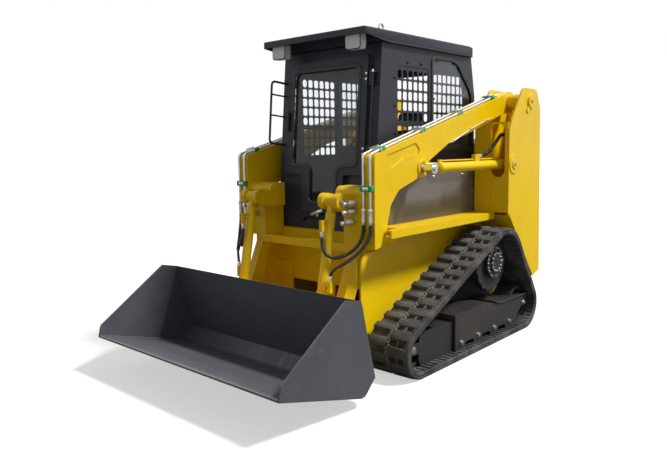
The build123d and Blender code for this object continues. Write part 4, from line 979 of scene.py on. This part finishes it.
class LOADER_OT_cab_sides(bpy.types.Operator):
    """Adds the side windows' knobs, the seam below the roof and the roof's fascia"""

    bl_idname = "loader.cab_sides"
    bl_label = "Cab knobs and fascia"

    def execute(self, context):
        knobs, fascia = Shape(), Shape()

        def knob(x, z, inner, middle, radius, **form):
            knobs.rod((x, CAB_HALF + inner, z), (x, CAB_HALF + middle, z), radius, **form)

        for x, z in GRILLE_KNOBS:
            knob(x, z, -1, 5, 11, sides=18, bevel=1.5)
            knob(x, z, 4, 9, 6, sides=12, bevel=1)
        for x, z in WINDOW_KNOBS:
            knob(x, z, 5, 11, 8, sides=16, bevel=1.5)

        # The seam below the roof's fascia.
        knobs.box((-925, CAB_HALF - 1, CAB_EAVE - 5), (186, CAB_HALF + 1.2, CAB_EAVE - 0.5))
        piece("cab_knobs", knobs, "chassis", "seal_rubber", both=True)
        fascia.plate(ROOF_FASCIA, side_view(FASCIA_SIDE), 1.6, corner=8, bevel=0.7)
        piece("roof_fascia", fascia, "chassis", "dark_paint", both=True)
        return {"FINISHED"}


LAMP_SIDE, LAMP_FRONT = 335, 352.0
LAMP_RIBS, LAMP_RIB_PITCH = 7, 16


class LOADER_OT_work_lamps(bpy.types.Operator):
    """Adds the ribbed lenses and the rims of the two work lamps"""

    bl_idname = "loader.work_lamps"
    bl_label = "Work lamps"

    def execute(self, context):
        lenses, rims = Shape(), Shape()
        for y in (LAMP_SIDE, -LAMP_SIDE):
            lenses.plate(rectangle((y - 58, 2046), (y + 58, 2138)), end_view(LAMP_FRONT - 2), 8, corner=20,
                         bevel=3.5)
            for rib in range(LAMP_RIBS):
                across = y - 48 + rib * LAMP_RIB_PITCH
                lenses.box((LAMP_FRONT + 4, across - 2, 2054), (LAMP_FRONT + 7.5, across + 2, 2130), 0.9)
            rims.plate(rectangle((y - 64, 2040), (y + 64, 2143)), end_view(LAMP_FRONT - 6), 9, corner=24,
                       rim=7, bevel=2)
            rims.box((LAMP_FRONT - 30, y - 16, 2139), (LAMP_FRONT - 22, y + 16, 2156), 1)
        piece("lamp_lenses", lenses, "chassis", "lamp")
        piece("lamp_rims", rims, "chassis", "seal_rubber")
        return {"FINISHED"}


# The rod beside the door: its y, how far it stands off the slope, and its ends' heights.
ROD_SIDE, ROD_OUT, ROD_LOW, ROD_HIGH = 408.0, 38, 1400, 1905
DOOR_FACE = 35
HINGE_HEIGHTS = (1400, 1880)
HINGE_SIDE, HINGE_BOLT_GAP = 352, 18
SEAM_HEIGHT = 1228


class LOADER_OT_door_fittings(bpy.types.Operator):
    """Adds the rod beside the door, its plated cap, the handle, the hinges' bolts and the seams"""

    bl_idname = "loader.door_fittings"
    bl_label = "Door fittings"

    def execute(self, context):
        front = on_cab_front(0)
        low, high = up_front(ROD_LOW), up_front(ROD_HIGH)
        route = [front @ Vector(point) for point in
                 ((ROD_SIDE, low, 2), (ROD_SIDE, low, 26), (ROD_SIDE, low, 34),
                  (ROD_SIDE - 2, low + 20, ROD_OUT), (ROD_SIDE - 2, high - 20, ROD_OUT),
                  (ROD_SIDE, high, 34), (ROD_SIDE, high, 26), (ROD_SIDE + 8, high, 2))]
        bent_bar("door_rod", route, 5.0, "chassis", "dark_paint")
        cap = Shape()
        cap.rod(front @ Vector((ROD_SIDE - 2, high - 4, ROD_OUT)),
                front @ Vector((ROD_SIDE - 2, high + 12, ROD_OUT)), 7.5, sides=16, bevel=1.5)
        piece("door_rod_cap", cap, "chassis", "zinc")

        handle, hinges, seams = Shape(), Shape(), Shape()
        door_face = on_cab_front(DOOR_FACE)
        handle.box((-334, up_front(1555), 0), (-326, up_front(1665), 20), 3, door_face)
        handle.box((-338, up_front(1590), 18), (-322, up_front(1700), 27), 4, door_face)
        piece("door_handle", handle, "cab_door", "seal_rubber")
        forward = front.to_3x3() @ Vector((0, 0, 1))
        for hinge in HINGE_HEIGHTS:
            for z in (hinge - HINGE_BOLT_GAP, hinge + HINGE_BOLT_GAP):
                hinges.bolt(front @ Vector((HINGE_SIDE, up_front(z), DOOR_FACE + 1)), forward, 6)
        piece("door_hinge_bolts", hinges, "cab_door", "zinc")
        seam = up_front(SEAM_HEIGHT)
        for y_low, y_high in ((236, 342), (-342, -236)):
            seams.box((y_low, seam - 1.5, -1), (y_high, seam + 1.5, 0.8), place=front)
        piece("cab_front_seams", seams, "chassis", "seal_rubber")
        return {"FINISHED"}


# ---- Seat and controls ----
# Each pad of the seat: its corners, rounding and crown, its lean in degrees, and how far in metres
# the stuffing may move it.
SEAT_PADS = (
    ("seat_cushion", (-695, -215, 1046), (-268, 215, 1150), 38, 10, 0, 0.014),
    ("seat_back", (-766, -208, 1172), (-678, 208, 1562), 36, 8, -6, 0.012),
    ("seat_headrest", (-798, -112, 1588), (-722, 112, 1694), 34, 6, -6, 0.008),
)
VOXEL = 0.009
STUFFING_PRESSURE = 4
STUFFING_FRAMES = 20
SEAT_PIPING_HEIGHTS = (1128, 1062)


def stuffed(pad, cap):
    """Swells a pad by a cloth simulation with no point moved past the cap, in metres."""
    remesh = pad.modifiers.new("voxels", "REMESH")
    remesh.mode = "VOXEL"
    remesh.voxel_size = VOXEL
    bpy.context.view_layer.update()
    pad.data = settled(pad)
    pad.modifiers.clear()
    before = [vertex.co.copy() for vertex in pad.data.vertices]
    cloth = pad.modifiers.new("stuffing", "CLOTH")
    cloth.settings.use_pressure = True
    cloth.settings.uniform_pressure_force = STUFFING_PRESSURE
    cloth.settings.effector_weights.gravity = 0
    for moment in range(1, STUFFING_FRAMES + 1):
        bpy.context.scene.frame_set(moment)
    pad.data = settled(pad)
    pad.modifiers.clear()
    for vertex, old in zip(pad.data.vertices, before):
        way = vertex.co - old
        if way.length > cap:
            vertex.co = old + way.normalized() * cap
    bpy.context.scene.frame_set(1)
    pad.data.polygons.foreach_set("use_smooth", [True] * len(pad.data.polygons))
    finer = pad.modifiers.new("finer", "SUBSURF")
    finer.levels = finer.render_levels = 1
    return pad


class LOADER_OT_seat(bpy.types.Operator):
    """Upholsters the operator's seat and adds its piping and base"""

    bl_idname = "loader.seat"
    bl_label = "Seat"

    def execute(self, context):
        for name, low, high, round_width, crown, lean, cap in SEAT_PADS:
            shape = Shape()
            shape.pad(low, high, round_width, crown, Matrix.Rotation(math.radians(lean), 4, "Y"))
            pad = stuffed(piece(name, shape, "chassis", "seat_vinyl", smooth=60), cap)
            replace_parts(pad, "operator_seat")
        piping, base = Shape(), Shape()
        for height in SEAT_PIPING_HEIGHTS:
            piping.plate(rectangle((-700, -222), (-263, 222)), Matrix.Translation((0, 0, height)), 6,
                         corner=44, rim=9, bevel=2.4)
        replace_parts(piece("seat_piping", piping, "chassis", "seat_vinyl"), "operator_seat")
        base.box((-690, -190, 890), (-330, 190, 1045), 12)
        base.box((-800, -200, 1030), (-655, 200, 1180), 14)
        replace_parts(piece("seat_base", base, "chassis", "seal_rubber"), "operator_seat")
        return {"FINISHED"}


# The levers stand on the consoles at each side, and the foot plates between them.
CONSOLE_SIDE, FOOT_SIDE = 345, 150
LEVER_X, DIAL_X = -280, -470
BELLOWS_FOLDS, FOLD_PITCH = 6, 9
CONSOLE_KEYS, KEY_PITCH = 4, 30


class LOADER_OT_controls(bpy.types.Operator):
    """Adds the levers' bellows and grips, the consoles' dials and keys, and the foot plates"""

    bl_idname = "loader.controls"
    bl_label = "Controls"

    def execute(self, context):
        controls = Shape()
        for sign in (1, -1):
            y, foot = sign * CONSOLE_SIDE, sign * FOOT_SIDE
            for fold in range(BELLOWS_FOLDS):
                z, radius = 1246 + fold * FOLD_PITCH, 34 - fold * 3.2
                controls.rod((LEVER_X, y, z), (LEVER_X, y, z + 7), radius, sides=20, bevel=2)
            controls.rod((LEVER_X, y, 1380), (LEVER_X + 12, y * 1.01, 1470), 22, 18, sides=20, bevel=6)
            controls.box((-250, foot - 45, 905), (-130, foot + 45, 915), 2)
            controls.rod((DIAL_X, y, 1241), (DIAL_X, y, 1252), 30, sides=28, bevel=2)
            for key in range(CONSOLE_KEYS):
                x = -545 + key * KEY_PITCH
                controls.box((x, y - 24, 1240), (x + 20, y + 24, 1247), 2)
        piece("levers_and_switches", controls, "chassis", "seal_rubber")
        return {"FINISHED"}


# ---- Lift arms and their pipes ----
ARM_TOP_FRONT, ARM_TOP_REAR = (507.0, 1381.0), (-1218.0, 1839.0)
PIPE_ROWS = (545.0, 600.0)

# Clamps stand at these shares of the pipes' straight run along the arm's top.
PIPE_RUN_REAR, PIPE_RUN_FRONT = -1060.0, 497.0
CLAMP_SHARES = (0.06, 0.36, 0.66, 0.94)
CLAMP_IN, CLAMP_OUT, CLAMP_BOLT = 526, 619, 572.5

# The x of the pipes' ends on the arm's front, the three couplers' (y, z) on the bracket, and the
# rings of each coupler's knurled sleeve.
PIPE_END_X = 520
COUPLERS = ((464, 1090), (462, 1038), (446, 972))
KNURLS, KNURL_PITCH = 4, 9


def along_arm(x):
    """A place on the arm's top edge: X rearward along it, Y across and Z off it."""
    (x_front, z_front), (x_rear, z_rear) = ARM_TOP_FRONT, ARM_TOP_REAR
    z = z_front + (z_rear - z_front) * (x - x_front) / (x_rear - x_front)
    way = Vector((x_rear - x_front, 0, z_rear - z_front)).normalized()
    turn = Matrix((way, (0, 1, 0), (way.z, 0, -way.x))).transposed().to_4x4()
    return Matrix.Translation((x, 0, z)) @ turn


class LOADER_OT_pipe_fittings(bpy.types.Operator):
    """Adds the green clamps, the nuts and the couplers of the arms' pipes"""

    bl_idname = "loader.pipe_fittings"
    bl_label = "Pipe clamps and couplers"

    def execute(self, context):
        clamps, fittings = Shape(), Shape()
        for share in CLAMP_SHARES:
            place = along_arm(PIPE_RUN_REAR + (PIPE_RUN_FRONT - PIPE_RUN_REAR) * share)
            clamps.box((-18, CLAMP_IN, -2), (18, CLAMP_OUT, 28), 4, place)
            fittings.box((-10, 545, 27), (10, 600, 30.5), 1, place)
            fittings.bolt(place @ Vector((0, CLAMP_BOLT, 30)), place.to_3x3() @ Vector((0, 0, 1)), 8)
        clamps.box((505, CLAMP_IN, 1165), (535, CLAMP_OUT, 1201), 4)
        fittings.box((534, 552, 1174), (537.5, 593, 1192), 1)
        fittings.bolt((537, CLAMP_BOLT, 1183), (1, 0, 0), 8)

        # Nuts and ferrules where the pipes end above the hoses.
        for y in PIPE_ROWS:
            fittings.rod((PIPE_END_X, y, 1036), (PIPE_END_X, y, 1060), 14, sides=6, bevel=1)
            fittings.rod((PIPE_END_X, y, 994), (PIPE_END_X, y, 1016), 13, sides=6, bevel=1)
        for y, z in COUPLERS:
            fittings.rod((500, y, z), (514, y, z), 21, sides=6, bevel=1)
            fittings.rod((524, y, z), (566, y, z), 20.5, sides=36, bevel=3)
            for ring in range(KNURLS):
                x = 530 + ring * KNURL_PITCH
                fittings.rod((x, y, z), (x + 3, y, z), 22, sides=36)
            fittings.rod((590, y, z), (611, y, z), 16, 14, bevel=2)
        piece("pipe_clamps", clamps, "lift_arms", "clamp_plastic", both=True)
        piece("pipe_fittings", fittings, "lift_arms", "zinc", both=True)
        return {"FINISHED"}


# The arms' pins: their (x, z), the |y| of the face that they stand on, and their radius.
ARM_EYE = (0, 1289)
ARM_PINS = ((ARM_EYE, 622, 30), ((602, 1105), 445, 24), ((712, 205), 468, 26))
UPRIGHT_FACE = 803
UPRIGHT_PINS = ((-1218, 1755), (-958, 1285))
EYE_FLANGE = [(34, 620), (60, 620), (60, 626), (56, 631), (38, 631), (34, 628)]


class LOADER_OT_pins(bpy.types.Operator):
    """Adds the ends of the arms' and the uprights' pins and the flange round the cylinder's eye"""

    bl_idname = "loader.pins"
    bl_label = "Pins"

    def execute(self, context):
        pins, flange, upright_pins = Shape(), Shape(), Shape()
        for (x, z), face, radius in ARM_PINS:
            pins.rod((x, face - 1, z), (x, face + 9, z), radius, sides=28, bevel=3)
            pins.rod((x, face + 7, z), (x, face + 12, z), radius * 0.32, sides=12, bevel=1)
        flange.turned(EYE_FLANGE, turn_across(*ARM_EYE))
        piece("arm_pins", pins, "lift_arms", "worn_steel", both=True)
        piece("arm_eye_flange", flange, "lift_arms", "yellow_paint", both=True)
        for x, z in UPRIGHT_PINS:
            upright_pins.rod((x, UPRIGHT_FACE, z), (x, UPRIGHT_FACE + 3, z), 17, bevel=1)
            upright_pins.rod((x, UPRIGHT_FACE + 2, z), (x, UPRIGHT_FACE + 8, z), 4.5, sides=6)
        piece("upright_pins", upright_pins, "chassis", "worn_steel", both=True)
        return {"FINISHED"}


GREASE_ROUTE = [(-330, 628, 1452), (-372, 629, 1462), (-430, 629, 1482), (-560, 629, 1530),
                (-700, 629, 1573), (-850, 629, 1614), (-905, 629, 1630)]
GREASE_CLIPS = ((-372, 1464), (-600, 1544), (-830, 1609))


class LOADER_OT_grease_pipes(bpy.types.Operator):
    """Lays a thin grease pipe on stand-offs along each arm's lower edge"""

    bl_idname = "loader.grease_pipes"
    bl_label = "Grease pipes"

    def execute(self, context):
        clips = Shape()
        for side, sign in SIDES:
            route = [(x, sign * y, z) for x, y, z in GREASE_ROUTE]
            bent_bar(f"grease_pipe_{side}", route, 4.0, "lift_arms", "zinc")
        for x, z in GREASE_CLIPS:
            clips.box((x - 8, 620, z - 8), (x + 8, 634, z + 8), 2)
        piece("grease_pipe_clips", clips, "lift_arms", "zinc", both=True)
        return {"FINISHED"}


# ---- Bucket: its own place, rolled forward about the corner of its floor and back ----
BUCKET_CORNER, BUCKET_ROLL = (896, 0, 57), 15.5
BUCKET_INNER = 833
BUCKET_LIP = 604


class LOADER_OT_bucket_fittings(bpy.types.Operator):
    """Adds the bucket's wear edge and its weld beads"""

    bl_idname = "loader.bucket_fittings"
    bl_label = "Bucket fittings"

    def execute(self, context):
        rolled = Matrix.Translation(BUCKET_CORNER) @ Matrix.Rotation(math.radians(-BUCKET_ROLL), 4, "Y")
        edge, welds = Shape(), Shape()

        def bead(start, end, width, pitch=10):
            welds.weld(rolled @ Vector(start), rolled @ Vector(end), width, pitch)

        edge.box((BUCKET_LIP + 2, -834, 9.5), (666, 834, 12.5), 1.0, rolled)
        for inner in (BUCKET_INNER, -BUCKET_INNER):
            bead((60, inner, 12), (655, inner, 12), 4.5)
            bead((-52, inner, 140), (140, inner, 505), 4.5)
        bead((BUCKET_LIP, -834, 12), (BUCKET_LIP, 834, 12), 3.5, 11)
        piece("bucket_edge", edge, "bucket", "worn_steel")
        piece("bucket_welds", welds, "bucket", "bucket_paint")
        return {"FINISHED"}


# ---- Frame, side panels and rear ----
PANEL_FACE = 489
PANEL_BOLTS = ((-330, 1215), (-720, 1215))

# The frame's runs of weld: start, end and width.
FRAME_WELDS = (
    ((-880, 790, 1590), (-880, 790, 900), 5),
    ((-880, 646, 900), (-880, 646, 1180), 4),
    ((272, 308, 512), (272, 468, 512), 4),
    ((274, 470, 300), (274, 470, 860), 4),
)


class LOADER_OT_frame_fittings(bpy.types.Operator):
    """Adds the side panels' plates and bolts, the frame's welds and the blocks below the arms"""

    bl_idname = "loader.frame_fittings"
    bl_label = "Frame fittings"

    def execute(self, context):
        plates, welds, rests, bolts = Shape(), Shape(), Shape(), Shape()
        plates.plate(rectangle((-803, 1172), (-246, 1296)), side_view(PANEL_FACE), 7, corner=46,
                     bevel=1.5, steps=8)
        piece("cab_side_plates", plates, "chassis", "grey_panel", both=True)
        for start, end, width in FRAME_WELDS:
            welds.weld(start, end, width)
        piece("frame_welds", welds, "chassis", "yellow_paint", both=True)
        rests.box((306, 560, 834), (352, 636, 876), 2.5)
        piece("arm_rest_blocks", rests, "chassis", "yellow_paint", both=True)
        for x, z in PANEL_BOLTS:
            bolts.bolt((x, PANEL_FACE + 6, z), (0, 1, 0), 9)
        piece("body_bolts", bolts, "chassis", "zinc", both=True)
        return {"FINISHED"}


UPRIGHT_REAR = -1437
TAIL_LAMP = rectangle((655, 1180), (755, 1240))
TAIL_LAMP_FRAME = rectangle((648, 1173), (762, 1247))


class LOADER_OT_rear_fittings(bpy.types.Operator):
    """Adds the tail lamps in the uprights and the rear door's pull"""

    bl_idname = "loader.rear_fittings"
    bl_label = "Rear fittings"

    def execute(self, context):
        lamps, frames = Shape(), Shape()
        lamps.plate(TAIL_LAMP, end_view(UPRIGHT_REAR - 2, -1), 14, corner=10, bevel=4)
        frames.plate(TAIL_LAMP_FRAME, end_view(UPRIGHT_REAR, -1), 9, corner=14, bevel=2)
        piece("tail_lamps", lamps, "chassis", "lamp_red", both=True)
        piece("tail_lamp_frames", frames, "chassis", "seal_rubber", both=True)

        pull = Shape()
        pull.box((-1512, -412, 900), (-1496, -396, 1010), 4)
        pull.box((-1530, -414, 920), (-1510, -394, 990), 5)
        piece("rear_door_pull", pull, "rear_door", "seal_rubber")
        return {"FINISHED"}


DECK_HOSE = [(330, -73, 971), (330, -100, 962), (326, -140, 956), (312, -169, 940), (290, -180, 928)]


class LOADER_OT_deck_hose(bpy.types.Operator):
    """Adds the tube across the deck in front of the cab and the hose that leaves its end"""

    bl_idname = "loader.deck_hose"
    bl_label = "Deck tube and hose"

    def execute(self, context):
        tube = Shape()
        tube.rod(DECK_HOSE[0], (331, 24, 1003), 13, bevel=2)
        tube.rod((331, 24, 1003), (331, 36, 1007), 17, sides=6, bevel=1)
        tube.box((300, -30, 960), (334, -10, 1000), 3)
        piece("deck_tube", tube, "chassis", "zinc")
        bent_bar("deck_hose", DECK_HOSE, 9, "chassis", "hose_rubber")
        return {"FINISHED"}


# ---- Hoses: routes in millimetres on the left side, from the arm's pipes or the cylinder's port ----
UPPER_ROUTE = [
    (520, 545, 996.5), (520, 545, 925), (538, 535, 858), (572, 505, 805), (612, 467, 775),
    (657, 434, 763), (697, 401, 780), (707, 376, 822), (701, 365, 865), (701, 365, 925),
]
LOWER_ROUTE = [
    (520, 600, 996.5), (520, 600, 925), (540, 588, 858), (576, 555, 800), (618, 517, 757),
    (655, 481, 727), (686, 446, 702), (699, 423, 662), (699, 423, 624),
]
LIFT_ROUTE = [
    (-1010, 690, 1500), (-950, 698, 1512), (-900, 700, 1490), (-840, 698, 1440), (-770, 693, 1382),
    (-690, 690, 1358), (-628, 690, 1354),
]

# Two places in metres on each hose's way from one body to the other.
ARM_BEND = ((0.530, 0.570, 0.900), (0.690, 0.400, 0.760))
LIFT_BEND = ((-0.900, 0.690, 1.490), (-0.680, 0.690, 1.360))

# Each hose of a side: its name, route, two bodies, the CAD node that it replaces, two places between its
# bodies, the shares of its length that its guard covers, and the length of its crimped ends.
HOSES = (
    ("upper_tilt_hose", UPPER_ROUTE, ("lift_arms", "tilt_barrels"), "upper_hose", ARM_BEND,
     (0.08, 0.93), 34),
    ("lower_tilt_hose", LOWER_ROUTE, ("lift_arms", "tilt_barrels"), "lower_hose", ARM_BEND,
     (0.08, 0.72), 34),
    ("lift_hose", LIFT_ROUTE, ("chassis", "lift_barrels"), None, LIFT_BEND, (0.06, 0.92), 22),
)
GUARD_WIRE, GUARD_GAP, GUARD_PITCH, GUARD_STEPS = 3.0, 2.0, 15, 10


def as_mesh(curve_object):
    """A curve piece turned into a mesh."""
    bpy.context.view_layer.update()
    mesh = settled(curve_object)
    name = curve_object.name
    bpy.data.objects.remove(curve_object)
    made = bpy.data.objects.new(name, mesh)
    bpy.context.collection.objects.link(made)
    return made


def centre_line(hose):
    """Points in metres along a hose's own curve."""
    bare = hose.data.copy()
    bare.bevel_depth = 0
    probe = bpy.data.objects.new("probe", bare)
    bpy.context.collection.objects.link(probe)
    bpy.context.view_layer.update()
    mesh = settled(probe)
    points = [vertex.co.copy() for vertex in mesh.vertices]
    bpy.data.objects.remove(probe)
    return points


def reaches(points):
    """How far along a line each of its points lies."""
    lengths = [0.0]
    for before, after in zip(points, points[1:]):
        lengths.append(lengths[-1] + (after - before).length)
    return lengths


def spiral(points, first, last, radius):
    """The guard's wire, wound round a line of metres between two shares of its length."""
    lengths = reaches(points)
    total = lengths[-1]
    count = int((last - first) * total / (GUARD_PITCH * MM) * GUARD_STEPS)
    side = Vector((0, 1, 0))
    wound, index = [], 0
    for step in range(count + 1):
        reach = total * (first + (last - first) * step / count)
        while index < len(points) - 2 and lengths[index + 1] < reach:
            index += 1
        leg = lengths[index + 1] - lengths[index]
        along = (points[index + 1] - points[index]).normalized()
        centre = points[index].lerp(points[index + 1], (reach - lengths[index]) / leg if leg else 0)
        side = (side - along * side.dot(along)).normalized()
        turned = Matrix.Rotation(math.tau * step / GUARD_STEPS, 3, along) @ side
        wound.append((centre + turned * radius * MM) / MM)
    return wound


def crimped_end(name, body, first, second, thick, reach):
    """The crimped sleeve and the nut on a hose's end, which points from first to second."""
    end, foot, way = Shape(), first / MM, (second - first).normalized()
    end.rod(foot, foot + way * reach, thick + 2.6, sides=20, bevel=2)
    end.rod(foot - way * 2, foot + way * 11, thick + 4, sides=6, bevel=1)
    return piece(name, end, body, "zinc")


def laid_hose(name, route, diameter, bodies, replaced, guard_span, end_reach):
    """A guarded hose along a route from one body to another, with crimped ends on the two bodies."""
    thick = diameter / 2 / MM
    curve = round_wire(name, route, thick, "hose_rubber", resolution=6)
    points = centre_line(curve)
    hose = as_mesh(curve)
    wire = spiral(points, *guard_span, thick + GUARD_GAP)
    guard = as_mesh(round_wire(name + "_guard", wire, GUARD_WIRE, "guard_plastic", kinked=True,
                               resolution=1))
    for item in (hose, guard):
        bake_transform(item)
    if replaced:
        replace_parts(hose, replaced)
    start = crimped_end(name + "_start", bodies[0], points[0], points[4], thick, end_reach)
    end = crimped_end(name + "_end", bodies[1], points[-1], points[-5], thick, end_reach)


class LOADER_OT_hoses(bpy.types.Operator):
    """Lays the hoses of the tilt and lift cylinders"""

    bl_idname = "loader.hoses"
    bl_label = "Hydraulic hoses"

    def execute(self, context):
        diameter = context.scene.loader_hoses.diameter
        ports = Shape()
        ports.box((-612, 676, 1338), (-596, 704, 1368), 3)
        ports.rod((-612, 690, 1353), (-632, 690, 1354), 13, sides=6, bevel=1)
        piece("lift_port_fittings", ports, "lift_barrels", "zinc", both=True)
        for side, sign in SIDES:
            for name, route, bodies, replaced, bend, guard_span, end_reach in HOSES:
                route = [(x, sign * y, z) for x, y, z in route]
                bend = [(x, sign * y, z) for x, y, z in bend]
                laid_hose(f"{name}_{side}", route, diameter, bodies, replaced and f"{replaced}_{side}",
                          guard_span, end_reach)
        return {"FINISHED"}


# ---- Stage ----
# How much light the floor returns to the machine and to the camera, and its glow for the camera.
FLOOR_BOUNCE, FLOOR_SEEN, FLOOR_GLOW = 0.22, 0.50, 0.55
KEY_WAY, KEY_SIZE, KEY_COLOUR = (0.6, -0.92, -1.5), math.radians(9), (1.0, 0.985, 0.96)


def ray_share(tree, kinds):
    """A share that is 1 for light paths of the named kinds and 0 for the others."""
    light_path = tree.nodes.new("ShaderNodeLightPath")
    share = light_path.outputs[kinds[0]]
    for kind in kinds[1:]:
        most = tree.nodes.new("ShaderNodeMath")
        most.operation = "MAXIMUM"
        tree.links.new(share, most.inputs[0])
        tree.links.new(light_path.outputs[kind], most.inputs[1])
        share = most.outputs["Value"]
    return share


def between(tree, share, low, high):
    """A value from low to high by a share."""
    span = tree.nodes.new("ShaderNodeMapRange")
    span.inputs["To Min"].default_value = low
    span.inputs["To Max"].default_value = high
    tree.links.new(share, span.inputs["Value"])
    return span.outputs["Result"]


def stage_floor(reach):
    """A pale floor that keeps the shadow and looks white to the camera."""
    mesh = bpy.data.meshes.new("floor")
    bm = bmesh.new()
    bmesh.ops.create_grid(bm, x_segments=1, y_segments=1, size=reach)
    bm.to_mesh(mesh)
    bm.free()
    floor = bpy.data.objects.new("floor", mesh)
    bpy.context.collection.objects.link(floor)
    material = bpy.data.materials.new("floor")
    material.use_nodes = True
    tree = material.node_tree
    shader = tree.nodes["Principled BSDF"]
    shader.inputs["Roughness"].default_value = 1.0
    shader.inputs["Specular IOR Level"].default_value = 0.0
    shader.inputs["Emission Color"].default_value = (1, 1, 1, 1)
    seen = ray_share(tree, ("Is Camera Ray", "Is Transmission Ray"))
    shade = between(tree, seen, FLOOR_BOUNCE, FLOOR_SEEN)
    tree.links.new(shade, shader.inputs["Base Color"])
    tree.links.new(between(tree, seen, 0.0, FLOOR_GLOW), shader.inputs["Emission Strength"])
    floor.data.materials.append(material)


def sky(strength):
    """Even fill light, with a white background for the camera, mirrors and glass."""
    world = bpy.data.worlds.new("studio")
    bpy.context.scene.world = world
    world.use_nodes = True
    tree = world.node_tree
    background = tree.nodes["Background"]
    background.inputs["Color"].default_value = (1, 1, 1, 1)
    seen = ray_share(tree, ("Is Camera Ray", "Is Glossy Ray", "Is Transmission Ray"))
    tree.links.new(between(tree, seen, strength, 1.0), background.inputs["Strength"])


def camera_turn(heading, pitch, roll):
    """The camera's axes for a heading from -X towards -Y, a pitch down and a roll."""
    forward = Vector((-math.cos(heading) * math.cos(pitch), -math.sin(heading) * math.cos(pitch),
                      -math.sin(pitch)))
    right = forward.cross(Vector((0, 0, 1))).normalized()
    up = right.cross(forward)
    rolled_right = math.cos(roll) * right + math.sin(roll) * up
    rolled_up = math.cos(roll) * up - math.sin(roll) * right
    return Matrix((rolled_right, rolled_up, -forward)).transposed().to_4x4()


class LOADER_OT_stage(bpy.types.Operator):
    """Sets the camera, the light and the floor"""

    bl_idname = "loader.stage"
    bl_label = "Stage"

    def execute(self, context):
        stage = context.scene.loader_stage
        camera = bpy.data.objects.new("camera", bpy.data.cameras.new("camera"))
        context.collection.objects.link(camera)
        camera.data.lens = stage.camera_lens
        camera.data.sensor_width = 36.0
        turn = camera_turn(stage.camera_heading, stage.camera_pitch, stage.camera_roll)
        camera.matrix_world = Matrix.Translation(Vector(stage.camera_place)) @ turn
        context.scene.camera = camera

        key = bpy.data.objects.new("key", bpy.data.lights.new("key", "SUN"))
        context.collection.objects.link(key)
        key.data.energy = stage.sun_strength
        key.data.angle = KEY_SIZE
        key.data.color = KEY_COLOUR
        key.rotation_mode = "QUATERNION"
        key.rotation_quaternion = Vector(KEY_WAY).to_track_quat("-Z", "Y")

        sky(stage.sky_strength)
        stage_floor(stage.floor_reach)
        context.scene.view_settings.view_transform = "Standard"
        return {"FINISHED"}


STEPS = [LOADER_OT_finishes, LOADER_OT_stage, LOADER_OT_tracks, LOADER_OT_running_gear, LOADER_OT_grilles,
         LOADER_OT_cab_seals, LOADER_OT_cab_sides, LOADER_OT_work_lamps, LOADER_OT_door_fittings,
         LOADER_OT_seat, LOADER_OT_controls, LOADER_OT_pipe_fittings, LOADER_OT_pins,
         LOADER_OT_grease_pipes, LOADER_OT_bucket_fittings, LOADER_OT_frame_fittings,
         LOADER_OT_rear_fittings, LOADER_OT_deck_hose, LOADER_OT_hoses]


class LOADER_PT_panel(bpy.types.Panel):
    """Lists the loader's operators"""

    bl_idname = "LOADER_PT_panel"
    bl_label = "Compact track loader"
    bl_space_type = "VIEW_3D"
    bl_region_type = "UI"
    bl_category = "Loader"

    def draw(self, context):
        for step in STEPS:
            self.layout.operator(step.bl_idname)


GROUPS = {"loader_finish": LoaderFinish, "loader_tracks": LoaderTracks, "loader_hoses": LoaderHoses,
          "loader_stage": LoaderStage}


def register():
    for item in (*GROUPS.values(), *STEPS, LOADER_PT_panel):
        bpy.utils.register_class(item)
    for name, group in GROUPS.items():
        setattr(bpy.types.Scene, name, bpy.props.PointerProperty(type=group))


def unregister():
    for name in GROUPS:
        delattr(bpy.types.Scene, name)
    for item in (LOADER_PT_panel, *reversed(STEPS), *GROUPS.values()):
        bpy.utils.unregister_class(item)


def main():
    register()
    for step in STEPS:
        family, name = step.bl_idname.split(".")
        getattr(getattr(bpy.ops, family), name)()
    bpy.context.view_layer.update()


if __name__ == "__main__":
    main()
